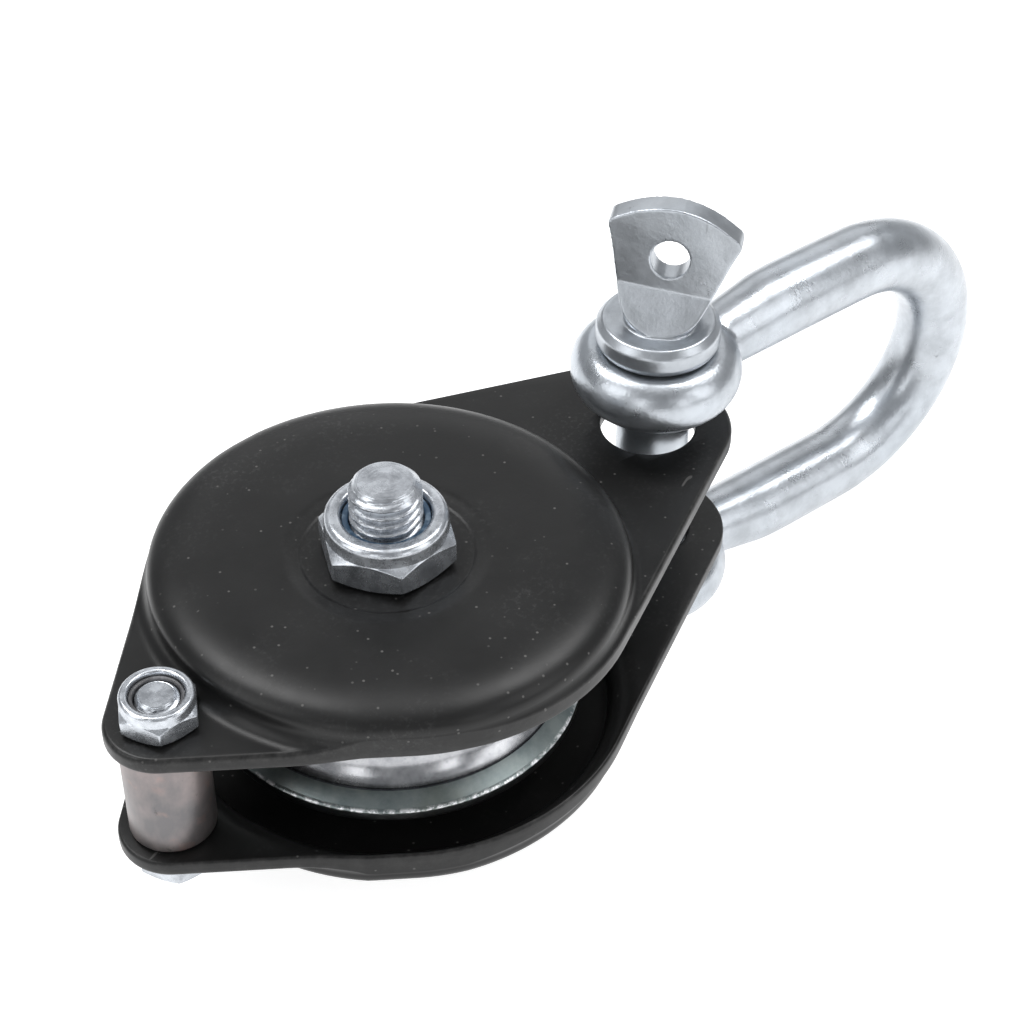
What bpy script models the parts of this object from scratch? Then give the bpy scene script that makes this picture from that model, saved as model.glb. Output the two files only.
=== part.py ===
"""Single sheave block: two stamped cheeks, a ball-bearing sheave, a becket spacer and a screw-pin shackle.

Units are metres, +Z up.  The origin is the centre of the sheave, halfway between the cheeks.
+Z runs along the axle towards its lock nut, and +X runs along the block towards the shackle.
"""

from math import asin, atan2, cos, hypot, pi, radians, sin, sqrt, tan

import bmesh
import bpy
from mathutils import Vector

# ---------------------------------------------------------------- driving dimensions
GAP = 0.0003                    # clearance left between pieces that touch

SHEET = 0.0025                  # thickness of the cheeks' steel sheet
EAR_OUTER_Z = 0.0113            # outer face of the flat ears
EAR_INNER_Z = EAR_OUTER_Z - SHEET

MID_X = 0.0022                  # outline circle around the sheave
MID_RADIUS = 0.0328
BECKET_X = -0.0386              # spacer bolt, at the small end
BECKET_EAR_RADIUS = 0.0075
HEAD_X = 0.0500                 # shackle pin holes, at the large end
HEAD_EAR_RADIUS = 0.0124
PIN_HOLE_RADIUS = 0.0070

DOME_TOP_Z = 0.0170             # outer face of the pan pressed around the sheave
DOME_FOOT_RADIUS = 0.0328
DOME_FOOT_SHIFT = 0.0010        # the pan reaches further towards the shackle than towards the spacer
DOME_SHOULDER = 0.0062          # radial width of the rounded shoulder
SHOULDER_POWER = 3.5            # squareness of the shoulder
SEAT_Z = 0.0164                 # nut seat pressed into the pan
SEAT_RADIUS = 0.0119
SEAT_SLOPE = 0.0023
RIM_LIFT = 0.4                  # how fast the rim climbs where the outline cuts into the wall
EDGE_STEP = 0.0002              # smallest flat left between the wall and the cut edge

AXLE_RADIUS = 0.0050            # M10
AXLE_NUT_FLATS = 0.0170
AXLE_NUT_HEX = 0.0044
AXLE_NUT_HEIGHT = 0.0071
AXLE_NUT_TURN = radians(-118.3)
AXLE_HEAD_HEIGHT = 0.0064
AXLE_END_Z = 0.0292

BOLT_RADIUS = 0.0030            # M6
BOLT_FLATS = 0.0099
BOLT_NUT_HEX = 0.0028
BOLT_NUT_HEIGHT = 0.0045
BOLT_NUT_TURN = radians(-124.1)
BOLT_HEAD_HEIGHT = 0.0040
BOLT_END_Z = 0.0157
SPACER_RADIUS = 0.0059

SHEAVE_RADIUS = 0.0268
SHEAVE_HALF_WIDTH = 0.0080
ROPE_GROOVE_BOTTOM = 0.0220
ROPE_GROOVE_EDGE = (0.0244, 0.0041)     # where the rounded groove meets the conical flange
FLANGE_LIP_Z = 0.0062
WEB_HALF_WIDTH = 0.0066         # the disc between the rim and the bearing seat
RIM_INSIDE = 0.0240
WEB_OUTSIDE = 0.0228
SEAT_WALL_RADIUS = 0.0166
SNAP_GROOVE_DEPTH = 0.0008
SNAP_GROOVE_WIDTH = 0.0014

BEARING_RADIUS = 0.0150         # 10 x 30 x 9 ball bearing
BEARING_HALF_WIDTH = 0.0045
BALL_RADIUS = 0.00238
BALL_PITCH_RADIUS = 0.0100
BALL_COUNT = 8
INNER_LAND = 0.0080
OUTER_LAND = 0.0120
RACE_CLEARANCE = 0.0002
SHIELD_THICKNESS = 0.0004
CAGE_HALF_WIDTH = 0.0031
CAGE_HALF_WALL = 0.0006
SNAP_RING_THICKNESS = 0.0009
HUB_SPACER_RADIUS = 0.0076

SHACKLE_AT = (0.0514, 0.0003, 0.0020)   # pin axis at mid-height, drawn to the far side of its holes
SHACKLE_TURN = radians(-4.6)
WIRE_RADIUS = 0.0057
LEG_Z = 0.0200                  # height of each leg's centre line from the shackle's middle
LEG_LENGTH = 0.0384
CROWN_REACH = 0.0213            # from the legs' ends to the crown's centre line
JAW_Z = 0.0136                  # inner face of each eye
EYE_OUTER_Z = 0.0234
EYE_RADIUS = 0.0125
EYE_BORE = 0.00575
PIN_RADIUS = 0.0054
PIN_TIP_BEYOND_EYE = 0.0018
COLLAR_RADIUS = 0.0090
COLLAR_HEIGHT = 0.0043
WING_HALF_WIDTH = 0.0094
WING_HALF_THICKNESS = 0.00178
WING_HEIGHT = 0.0198
WING_SINK = 0.0004              # how deep the wing starts inside the collar
WING_CREASE = 0.0064            # height above the collar at which the stem becomes a plate
WING_FOOT_THICKENING = 0.0021
WING_TURN = radians(-49.1)      # direction of the wing's width, in the shackle's own frame
WING_EYE = (0.0121, 0.0035, 0.0040)     # height above the collar, half width, half height

ROUND_STEPS = 48
RACE_STEPS = 32
SMALL_STEPS = 24
TOOL_REACH = 0.04               # half length of a cutter, longer than anything it cuts


# ---------------------------------------------------------------- scene and materials
def clear_scene():
    for obj in list(bpy.context.scene.objects):
        bpy.data.objects.remove(obj, do_unlink=True)


def make_material(name, colour, metallic, roughness):
    material = bpy.data.materials.new(name)
    material.use_nodes = True
    shader = material.node_tree.nodes["Principled BSDF"]
    shader.inputs["Base Color"].default_value = (*colour, 1.0)
    shader.inputs["Metallic"].default_value = metallic
    shader.inputs["Roughness"].default_value = roughness
    return material


def make_materials():
    return {
        "paint": make_material("black_paint", (0.022, 0.022, 0.023), 0.0, 0.42),
        "zinc": make_material("zinc_plate", (0.62, 0.65, 0.69), 1.0, 0.30),
        "passivated": make_material("passivated_zinc", (0.58, 0.62, 0.60), 1.0, 0.25),
        "raw_steel": make_material("raw_steel", (0.30, 0.26, 0.25), 1.0, 0.40),
        "bearing_steel": make_material("bearing_steel", (0.70, 0.70, 0.71), 1.0, 0.15),
        "nylon_blue": make_material("nylon_blue", (0.12, 0.20, 0.32), 0.0, 0.40),
        "nylon_grey": make_material("nylon_grey", (0.10, 0.10, 0.11), 0.0, 0.45),
    }


# ---------------------------------------------------------------- mesh helpers
def finish_object(name, mesh, material, location=(0.0, 0.0, 0.0), parent=None):
    mesh.materials.append(material)
    mesh.shade_smooth()
    mesh.set_sharp_from_angle(angle=radians(35))
    obj = bpy.data.objects.new(name, mesh)
    bpy.context.collection.objects.link(obj)
    obj.location = location
    obj.parent = parent
    return obj


def mesh_from_bmesh(name, work):
    mesh = bpy.data.meshes.new(name)
    work.to_mesh(mesh)
    work.free()
    return mesh


def ring_solid(name, angles, section):
    """A closed body around the Z axis from one closed section of (radius, z) for each angle.

    Every section has the same number of points.
    """
    work = bmesh.new()
    rings = []
    for angle in angles:
        rings.append([work.verts.new((r * cos(angle), r * sin(angle), z)) for r, z in section(angle)])
    count = len(rings[0])
    for index, ring in enumerate(rings):
        following = rings[(index + 1) % len(rings)]
        for k in range(count):
            after = (k + 1) % count
            work.faces.new((ring[k], ring[after], following[after], following[k]))
    bmesh.ops.recalc_face_normals(work, faces=work.faces)
    return mesh_from_bmesh(name, work)


def full_turn(steps, start=0.0):
    return [start + 2 * pi * k / steps for k in range(steps)]


def turned_ring(name, outline, steps=ROUND_STEPS):
    """A turned piece with a bore, from one closed outline of (radius, z)."""
    return ring_solid(name, full_turn(steps), lambda angle: outline)


def turned_bar(name, outline, steps=SMALL_STEPS, shape=None, start=0.0):
    """A solid turned piece: the outline's ends are closed with flat caps.

    shape, when given, returns the outline for one angle, so that a head can be hexagonal.
    """
    work = bmesh.new()
    rings = []
    for angle in full_turn(steps, start):
        points = shape(angle) if shape else outline
        rings.append([work.verts.new((r * cos(angle), r * sin(angle), z)) for r, z in points])
    last = len(rings[0]) - 1
    for index, ring in enumerate(rings):
        following = rings[(index + 1) % len(rings)]
        for k in range(last):
            work.faces.new((ring[k], ring[k + 1], following[k + 1], following[k]))
    work.faces.new([ring[0] for ring in rings])
    work.faces.new([ring[last] for ring in rings])
    bmesh.ops.recalc_face_normals(work, faces=work.faces)
    return mesh_from_bmesh(name, work)


def arc(centre, radius, start, end, steps):
    """Points along an arc in a section or a plan, both ends included."""
    turns = [start + (end - start) * k / steps for k in range(steps + 1)]
    return [(centre[0] + radius * cos(t), centre[1] + radius * sin(t)) for t in turns]


def add_boolean(obj, operation, other):
    modifier = obj.modifiers.new(operation.lower() + "_" + other.name, "BOOLEAN")
    modifier.operation = operation
    modifier.object = other
    other.hide_render = True
    other.display_type = "WIRE"


def link_tool(name, mesh, location=(0.0, 0.0, 0.0), rotation=(0.0, 0.0, 0.0), parent=None):
    """A helper shape for a Boolean; add_boolean hides it."""
    tool = bpy.data.objects.new(name, mesh)
    bpy.context.collection.objects.link(tool)
    tool.location = location
    tool.rotation_euler = rotation
    tool.parent = parent
    return tool


def cylinder_tool(name, radius, location, steps=32, parent=None):
    """A vertical cutter, turned a little so that its edges miss the corners of what it cuts."""
    mesh = turned_bar(name, [(radius, -TOOL_REACH), (radius, TOOL_REACH)], steps)
    return link_tool(name, mesh, location, (0.0, 0.0, 0.4 * pi / steps), parent)


# ---------------------------------------------------------------- cheeks
def straight_between(start, end, parts):
    """The points that divide a straight line, without its ends."""
    steps = [k / parts for k in range(1, parts)]
    return [(start[0] + (end[0] - start[0]) * s, start[1] + (end[1] - start[1]) * s) for s in steps]


def belt_points():
    """Plan outline of a cheek: the belt around its three circles, counter-clockwise from +X."""
    head_turn = pi / 2 - asin((MID_RADIUS - HEAD_EAR_RADIUS) / (HEAD_X - MID_X))
    becket_turn = pi / 2 + asin((MID_RADIUS - BECKET_EAR_RADIUS) / (MID_X - BECKET_X))
    head = arc((HEAD_X, 0.0), HEAD_EAR_RADIUS, 0.0, head_turn, 7)
    middle = arc((MID_X, 0.0), MID_RADIUS, head_turn, becket_turn, 11)
    becket = arc((BECKET_X, 0.0), BECKET_EAR_RADIUS, becket_turn, pi, 4)
    upper = head + straight_between(head[-1], middle[0], 3) + middle
    upper += straight_between(middle[-1], becket[0], 2) + becket
    lower = [(x, -y) for x, y in reversed(upper[1:-1])]
    return upper + lower


def shoulder_line(start, end, low, high, steps=4):
    """The pan's rounded shoulder, from its flat top at radius start down to the foot at radius end."""
    line = []
    for k in range(steps + 1):
        along = sin(k / steps * pi / 2)
        height = (1 - along ** SHOULDER_POWER) ** (1 / SHOULDER_POWER)
        line.append((start + (end - start) * along, low + (high - low) * height))
    return line


def cheek_section(angle, reach):
    """Closed section of a cheek along one ray: outer face outwards, the cut edge, inner face back.

    Beside the sheave the outline runs along the pan's wall, and the cut edge is flush with it.
    """
    wall_foot = DOME_FOOT_RADIUS + DOME_FOOT_SHIFT * cos(angle)
    lift = RIM_LIFT * max(0.0, wall_foot - reach)
    foot = min(wall_foot, reach - EDGE_STEP)
    start = foot - DOME_SHOULDER
    bore = AXLE_RADIUS + GAP
    slope_end = SEAT_RADIUS + SEAT_SLOPE
    outer = [(bore, SEAT_Z), (SEAT_RADIUS, SEAT_Z), (slope_end, DOME_TOP_Z)]
    outer += shoulder_line(start, foot, EAR_OUTER_Z + lift, DOME_TOP_Z)
    outer.append((reach, EAR_OUTER_Z + lift))
    inner = [(bore, SEAT_Z - SHEET), (SEAT_RADIUS, SEAT_Z - SHEET), (slope_end, DOME_TOP_Z - SHEET)]
    inner += shoulder_line(start, foot - SHEET, EAR_INNER_Z, DOME_TOP_Z - SHEET)
    inner.append((reach, EAR_INNER_Z + lift))
    return outer + inner[::-1]


def make_cheek(name, side, material):
    """A stamped cheek; side is +1 for the one at the nut and -1 for the one at the bolt's head."""
    reaches = {atan2(y, x): hypot(x, y) for x, y in belt_points()}
    mesh = ring_solid(name, sorted(reaches), lambda angle: cheek_section(angle, reaches[angle]))
    if side < 0:
        for vertex in mesh.vertices:
            vertex.co.z = -vertex.co.z
        mesh.flip_normals()
    cheek = finish_object(name, mesh, material)
    pin_cut = cylinder_tool(name + "_pin_cut", PIN_HOLE_RADIUS, (HEAD_X, 0, 0))
    add_boolean(cheek, "DIFFERENCE", pin_cut)
    bolt_cut = cylinder_tool(name + "_bolt_cut", BOLT_RADIUS + GAP, (BECKET_X, 0, 0), SMALL_STEPS)
    add_boolean(cheek, "DIFFERENCE", bolt_cut)


# ---------------------------------------------------------------- fasteners
def hexagon_reach(angle, flats, turn):
    """Distance from the axis to a hexagon's side along one angle; turn points at a corner."""
    from_corner = (angle - turn) % (pi / 3)
    return flats / 2 / cos(from_corner - pi / 6)


def chamfer_drop(reach, flats):
    """How far the 30 degree chamfer cuts a hexagon's corner down from its face."""
    return max(0.0, reach - flats * 0.475) * tan(radians(30))


def collar_radii(flats):
    """Outside and inside radius of a lock nut's collar."""
    return flats * 0.498, flats * 0.372


def lock_nut_section(bore, flats, hex_height, height, turn):
    """Section of a lock nut with its collar, open at the top for the insert."""
    collar, insert_seat = collar_radii(flats)
    curl = flats * 0.09

    def section(angle):
        reach = hexagon_reach(angle, flats, turn)
        drop = chamfer_drop(reach, flats)
        return [
            (bore, 0.0),
            (reach - drop, 0.0),
            (reach, drop * 0.4),
            (reach, hex_height - drop),
            (collar, hex_height),
            (collar, height - curl),
            (collar - curl * 0.6, height),
            (collar - curl, height),
            (insert_seat, hex_height),
            (bore, hex_height),
        ]
    return section


def make_lock_nut(name, material, location, bore, flats, hex_height, height, turn):
    section = lock_nut_section(bore, flats, hex_height, height, turn)
    mesh = ring_solid(name, full_turn(SMALL_STEPS, turn), section)
    finish_object(name, mesh, material, location)


def make_insert(name, material, location, bore, flats, hex_height, height):
    outside = collar_radii(flats)[1] - GAP
    low = hex_height + GAP
    outline = [(bore, low), (outside, low), (outside, height - 2 * GAP), (bore, height - 2.5 * GAP)]
    finish_object(name, turned_ring(name, outline, SMALL_STEPS), material, location)


def make_bolt(name, material, location, radius, flats, head_height, head_top, end_z, turn):
    """A hexagon bolt that points up, its head's bearing face at head_top."""
    def outline(angle):
        reach = hexagon_reach(angle, flats, turn)
        drop = chamfer_drop(reach, flats)
        base = head_top - head_height
        return [
            (reach * 0.8, base),
            (reach - drop * 1.7, base),
            (reach, base + drop),
            (reach, head_top),
            (radius, head_top),
            (radius, end_z - radius * 0.24),
            (radius * 0.77, end_z),
        ]
    finish_object(name, turned_bar(name, None, SMALL_STEPS, outline, turn), material, location)


# ---------------------------------------------------------------- sheave and bearing
def groove_points(steps):
    """Half of the rope groove, from its bottom at z = 0 up to the conical flange."""
    edge_r, edge_z = ROPE_GROOVE_EDGE
    depth = edge_r - ROPE_GROOVE_BOTTOM
    radius = (depth ** 2 + edge_z ** 2) / (2 * depth)
    reach = asin(edge_z / radius)
    centre = ROPE_GROOVE_BOTTOM + radius
    turns = [reach * k / steps for k in range(steps + 1)]
    return [(centre - radius * cos(t), radius * sin(t)) for t in turns]


def make_sheave(material):
    """The grooved wheel, with a bearing seat that has a shoulder below and a ring groove above."""
    half = groove_points(3)
    upper = half[1:] + [(SHEAVE_RADIUS - 0.0002, FLANGE_LIP_Z - 0.0002), (SHEAVE_RADIUS, FLANGE_LIP_Z)]
    upper += [(SHEAVE_RADIUS, SHEAVE_HALF_WIDTH - 0.0005), (SHEAVE_RADIUS - 0.0006, SHEAVE_HALF_WIDTH)]
    upper += [(RIM_INSIDE, SHEAVE_HALF_WIDTH)]
    upper += [(WEB_OUTSIDE, WEB_HALF_WIDTH), (SEAT_WALL_RADIUS, WEB_HALF_WIDTH)]
    lower = [(r, -z) for r, z in reversed(upper)]
    seat = BEARING_RADIUS + GAP
    snap_low = BEARING_HALF_WIDTH + GAP
    snap_high = snap_low + SNAP_GROOVE_WIDTH
    shoulder = BEARING_RADIUS - 0.0016
    bore = [
        (shoulder, -WEB_HALF_WIDTH),
        (shoulder, -BEARING_HALF_WIDTH - GAP),
        (seat, -BEARING_HALF_WIDTH - GAP),
        (seat, snap_low),
        (seat + SNAP_GROOVE_DEPTH, snap_low),
        (seat + SNAP_GROOVE_DEPTH, snap_high),
        (seat, snap_high),
        (seat, WEB_HALF_WIDTH),
    ]
    outline = lower + [half[0]] + upper + bore[::-1]
    return finish_object("sheave", turned_ring("sheave", outline), material)


def race_groove(centre_sign, steps=4):
    """The ball track of a race, as (radius, z); centre_sign is +1 for the outer race, -1 for the inner."""
    track = BALL_RADIUS + RACE_CLEARANCE
    land = OUTER_LAND if centre_sign > 0 else INNER_LAND
    reach = sqrt(track ** 2 - (land - BALL_PITCH_RADIUS) ** 2)
    limit = atan2(reach, abs(land - BALL_PITCH_RADIUS))
    turns = [-limit + 2 * limit * k / steps for k in range(steps + 1)]
    return [(BALL_PITCH_RADIUS + centre_sign * track * cos(t), track * sin(t)) for t in turns]


def make_bearing(materials, sheave_parent, cage_parent):
    steel = materials["bearing_steel"]
    half = BEARING_HALF_WIDTH
    rebate = OUTER_LAND + 0.0006
    shelf = half - 0.0011

    inner = [(AXLE_RADIUS + GAP, -half), (INNER_LAND, -half)] + race_groove(-1)
    inner += [(INNER_LAND, half), (AXLE_RADIUS + GAP, half)]
    finish_object("bearing_inner_race", turned_ring("bearing_inner_race", inner, RACE_STEPS), steel)

    outer = [(rebate, -half), (rebate, -shelf), (OUTER_LAND, -shelf)] + race_groove(1)
    outer += [(OUTER_LAND, shelf), (rebate, shelf), (rebate, half)]
    outer += [(BEARING_RADIUS, half), (BEARING_RADIUS, -half)]
    outer_mesh = turned_ring("bearing_outer_race", outer, RACE_STEPS)
    finish_object("bearing_outer_race", outer_mesh, steel, parent=sheave_parent)

    lower_shield = -shelf - GAP - SHIELD_THICKNESS
    for name, low in (("bearing_shield_upper", shelf + GAP), ("bearing_shield_lower", lower_shield)):
        inside = INNER_LAND + GAP
        outside = rebate - GAP
        high = low + SHIELD_THICKNESS
        outline = [(inside, low), (outside, low), (outside, high), (inside, high)]
        finish_object(name, turned_ring(name, outline, SMALL_STEPS), steel, parent=sheave_parent)

    make_cage(materials["raw_steel"], cage_parent)
    ball = ball_mesh("bearing_ball")
    for k, angle in enumerate(full_turn(BALL_COUNT)):
        place = (BALL_PITCH_RADIUS * cos(angle), BALL_PITCH_RADIUS * sin(angle), 0.0)
        finish_object("bearing_ball_%d" % (k + 1), ball.copy(), steel, place, cage_parent)


def ball_mesh(name):
    work = bmesh.new()
    bmesh.ops.create_uvsphere(work, u_segments=10, v_segments=6, radius=BALL_RADIUS)
    return mesh_from_bmesh(name, work)


def make_cage(material, parent):
    """A ring between the races with one round pocket for each ball."""
    half = CAGE_HALF_WIDTH
    inside = BALL_PITCH_RADIUS - CAGE_HALF_WALL
    outside = BALL_PITCH_RADIUS + CAGE_HALF_WALL
    outline = [(inside, -half), (outside, -half), (outside, half), (inside, half)]
    mesh = turned_ring("bearing_cage", outline, RACE_STEPS)
    cage = finish_object("bearing_cage", mesh, material, parent=parent)
    radius = BALL_RADIUS + GAP
    pocket = turned_bar("cage_pocket", [(radius, INNER_LAND), (radius, OUTER_LAND)], 10)
    for k, angle in enumerate(full_turn(BALL_COUNT)):
        tool = link_tool("cage_pocket_%d" % (k + 1), pocket, rotation=(0.0, pi / 2, angle), parent=parent)
        add_boolean(cage, "DIFFERENCE", tool)


def make_retaining_ring(material, parent):
    """The snap ring that keeps the bearing in the sheave; its gap faces the shackle."""
    low = BEARING_HALF_WIDTH + 2 * GAP
    high = low + SNAP_RING_THICKNESS
    inside = BEARING_RADIUS - 0.0012
    outside = BEARING_RADIUS + 0.0007
    opening = radians(16)
    angles = [opening + (2 * pi - 2 * opening) * k / 28 for k in range(29)]
    work = bmesh.new()
    rings = []
    for angle in angles:
        corners = ((inside, low), (outside, low), (outside, high), (inside, high))
        rings.append([work.verts.new((r * cos(angle), r * sin(angle), z)) for r, z in corners])
    for ring, following in zip(rings, rings[1:]):
        for k in range(4):
            after = (k + 1) % 4
            work.faces.new((ring[k], ring[after], following[after], following[k]))
    work.faces.new(rings[0])
    work.faces.new(rings[-1])
    bmesh.ops.recalc_face_normals(work, faces=work.faces)
    mesh = mesh_from_bmesh("bearing_retaining_ring", work)
    finish_object("bearing_retaining_ring", mesh, material, parent=parent)


def make_hub_spacers(material):
    low = BEARING_HALF_WIDTH + GAP
    high = SEAT_Z - SHEET - GAP
    for name, side in (("hub_spacer_upper", 1), ("hub_spacer_lower", -1)):
        inside = AXLE_RADIUS + GAP
        outside = HUB_SPACER_RADIUS
        outline = [(inside, low), (outside, low), (outside, high), (inside, high)]
        if side < 0:
            outline = [(r, -z) for r, z in reversed(outline)]
        finish_object(name, turned_ring(name, outline, SMALL_STEPS), material)


# ---------------------------------------------------------------- shackle
def bow_path():
    """Centre line (x, z) and wire radius along the bow, from the upper eye round to the lower one."""
    leg = [(0.0060, 0.0185, 0.0046), (0.0125, 0.0187, 0.0049), (0.0185, 0.0195, 0.0054)]
    leg += [(0.0240, LEG_Z, WIRE_RADIUS), (LEG_LENGTH, LEG_Z, WIRE_RADIUS)]
    steps = 14
    crown = []
    for k in range(1, steps):
        turn = pi / 2 - pi * k / steps
        crown.append((LEG_LENGTH + CROWN_REACH * cos(turn), LEG_Z * sin(turn), WIRE_RADIUS))
    return leg + crown + [(x, -z, r) for x, z, r in reversed(leg)]


def bow_mesh(name, path, steps=12):
    """A round wire swept along a path in the XZ plane, closed with a cap at each end."""
    work = bmesh.new()
    rings = []
    for k, (x, z, radius) in enumerate(path):
        before = path[max(k - 1, 0)]
        after = path[min(k + 1, len(path) - 1)]
        along = Vector((after[0] - before[0], 0.0, after[1] - before[1])).normalized()
        across = Vector((0.0, 1.0, 0.0)).cross(along)
        ring = []
        for turn in full_turn(steps):
            offset = across * (radius * cos(turn)) + Vector((0.0, radius * sin(turn), 0.0))
            ring.append(work.verts.new(Vector((x, 0.0, z)) + offset))
        rings.append(ring)
    for ring, following in zip(rings, rings[1:]):
        for k in range(steps):
            after = (k + 1) % steps
            work.faces.new((ring[k], ring[after], following[after], following[k]))
    work.faces.new(rings[0])
    work.faces.new(rings[-1])
    bmesh.ops.recalc_face_normals(work, faces=work.faces)
    return mesh_from_bmesh(name, work)


def eye_outline():
    """Barrel profile of the upper eye, from its inner face up to its outer face."""
    return [
        (0.0080, JAW_Z),
        (0.0100, JAW_Z + 0.0010),
        (0.0118, JAW_Z + 0.0029),
        (EYE_RADIUS, JAW_Z + 0.0051),
        (0.0122, JAW_Z + 0.0072),
        (0.0112, JAW_Z + 0.0088),
        (0.0097, EYE_OUTER_Z),
    ]


def make_shackle(materials, holder):
    bow = finish_object("shackle_bow", bow_mesh("shackle_bow", bow_path()), materials["zinc"], parent=holder)
    for name, side in (("upper_eye_form", 1), ("lower_eye_form", -1)):
        outline = [(r, side * z) for r, z in eye_outline()]
        form = link_tool(name, turned_bar(name, outline, SMALL_STEPS), parent=holder)
        add_boolean(bow, "UNION", form)
    add_boolean(bow, "DIFFERENCE", cylinder_tool("pin_bore", EYE_BORE, (0, 0, 0), SMALL_STEPS, holder))


def wing_half_outline():
    """Right half of the pin's wing as (width, height above the collar), from the foot to the top."""
    wide = WING_HALF_WIDTH
    side = [(0.0048, 0.0), (0.0058, 0.0030), (0.0068, 0.0062), (0.0078, 0.0102)]
    corner = [(wide - 0.0006, 0.0142), (wide, 0.0155), (wide - 0.0008, 0.0166)]
    top = [(0.0066, 0.0180), (0.0034, 0.0193)]
    return side + corner + top


def wing_half_depth(height):
    """Half thickness of the wing: the round stem is flattened into a plate above the crease."""
    return WING_HALF_THICKNESS + WING_FOOT_THICKENING * max(0.0, 1.0 - height / WING_CREASE)


def wing_mesh(name, base_z):
    """The flattened head of the screw pin, a shield standing on the collar."""
    right = wing_half_outline()
    outline = right + [(0.0, WING_HEIGHT)] + [(-w, h) for w, h in reversed(right)]
    count = len(outline)
    top = count // 2
    work = bmesh.new()
    sides = []
    for face in (-1, 1):
        sides.append([work.verts.new((w, face * wing_half_depth(h), base_z + h)) for w, h in outline])
    for k in range(count):
        after = (k + 1) % count
        work.faces.new((sides[0][k], sides[0][after], sides[1][after], sides[1][k]))
    for side in sides:
        for k in range(top - 1):
            work.faces.new((side[k], side[k + 1], side[-k - 2], side[-k - 1]))
        work.faces.new((side[top - 1], side[top], side[top + 1]))
    bmesh.ops.recalc_face_normals(work, faces=work.faces)
    return mesh_from_bmesh(name, work)


def wing_eye_mesh(name):
    """An oval cutter through the wing, from its half width and half height."""
    half_width, half_height = WING_EYE[1:]
    mesh = turned_bar(name, [(1.0, -TOOL_REACH), (1.0, TOOL_REACH)], 20)
    for vertex in mesh.vertices:
        vertex.co = (vertex.co.x * half_width, vertex.co.z, vertex.co.y * half_height)
    mesh.flip_normals()
    return mesh


def make_pin(materials, holder):
    """The screw pin: threaded end, shank, collar and wing."""
    collar_low = EYE_OUTER_Z + GAP
    collar_high = collar_low + COLLAR_HEIGHT
    tip = -EYE_OUTER_Z - PIN_TIP_BEYOND_EYE
    outline = [
        (PIN_RADIUS - 0.0010, tip),
        (PIN_RADIUS, tip + 0.0012),
        (PIN_RADIUS, collar_low),
        (COLLAR_RADIUS - 0.0007, collar_low),
        (COLLAR_RADIUS, collar_low + 0.0009),
        (COLLAR_RADIUS, collar_high - 0.0012),
        (COLLAR_RADIUS - 0.0012, collar_high),
    ]
    mesh = turned_bar("shackle_pin", outline, SMALL_STEPS)
    pin = finish_object("shackle_pin", mesh, materials["zinc"], parent=holder)
    upright = (0.0, 0.0, WING_TURN)
    wing = wing_mesh("wing_form", collar_high - WING_SINK)
    add_boolean(pin, "UNION", link_tool("wing_form", wing, rotation=upright, parent=holder))
    eye_at = (0.0, 0.0, collar_high + WING_EYE[0])
    add_boolean(pin, "DIFFERENCE", link_tool("wing_eye", wing_eye_mesh("wing_eye"), eye_at, upright, holder))


def make_empty(name, location=(0.0, 0.0, 0.0), turn=0.0, parent=None):
    empty = bpy.data.objects.new(name, None)
    bpy.context.collection.objects.link(empty)
    empty.location = location
    empty.rotation_euler = (0.0, 0.0, turn)
    empty.parent = parent
    return empty


# ---------------------------------------------------------------- assembly
def main():
    clear_scene()
    materials = make_materials()
    zinc = materials["zinc"]

    make_cheek("upper_cheek", 1, materials["paint"])
    make_cheek("lower_cheek", -1, materials["paint"])

    make_bolt("axle_bolt", zinc, (0, 0, 0), AXLE_RADIUS, AXLE_NUT_FLATS, AXLE_HEAD_HEIGHT,
              -SEAT_Z - GAP, AXLE_END_Z, AXLE_NUT_TURN)
    nut_at = (0.0, 0.0, SEAT_Z + GAP)
    make_lock_nut("axle_nut", zinc, nut_at, AXLE_RADIUS + GAP, AXLE_NUT_FLATS, AXLE_NUT_HEX,
                  AXLE_NUT_HEIGHT, AXLE_NUT_TURN)
    make_insert("axle_nut_insert", materials["nylon_blue"], nut_at, AXLE_RADIUS + GAP, AXLE_NUT_FLATS,
                AXLE_NUT_HEX, AXLE_NUT_HEIGHT)

    make_bolt("spacer_bolt", zinc, (BECKET_X, 0, 0), BOLT_RADIUS, BOLT_FLATS, BOLT_HEAD_HEIGHT,
              -EAR_OUTER_Z - GAP, BOLT_END_Z, BOLT_NUT_TURN)
    small_nut_at = (BECKET_X, 0.0, EAR_OUTER_Z + GAP)
    make_lock_nut("spacer_nut", zinc, small_nut_at, BOLT_RADIUS + GAP, BOLT_FLATS, BOLT_NUT_HEX,
                  BOLT_NUT_HEIGHT, BOLT_NUT_TURN)
    make_insert("spacer_nut_insert", materials["nylon_grey"], small_nut_at, BOLT_RADIUS + GAP, BOLT_FLATS,
                BOLT_NUT_HEX, BOLT_NUT_HEIGHT)
    end = EAR_INNER_Z - GAP
    inside = BOLT_RADIUS + GAP
    tube = [(inside, -end), (SPACER_RADIUS, -end), (SPACER_RADIUS, end), (inside, end)]
    tube_mesh = turned_ring("spacer_tube", tube, SMALL_STEPS)
    finish_object("spacer_tube", tube_mesh, materials["raw_steel"], (BECKET_X, 0, 0))

    sheave_axis = make_empty("sheave_axis")
    cage_axis = make_empty("cage_axis")
    sheave = make_sheave(materials["passivated"])
    sheave.parent = sheave_axis
    make_bearing(materials, sheave_axis, cage_axis)
    make_retaining_ring(materials["bearing_steel"], sheave_axis)
    make_hub_spacers(zinc)

    holder = make_empty("shackle_axis", SHACKLE_AT, SHACKLE_TURN)
    make_shackle(materials, holder)
    make_pin(materials, holder)


main()
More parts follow.
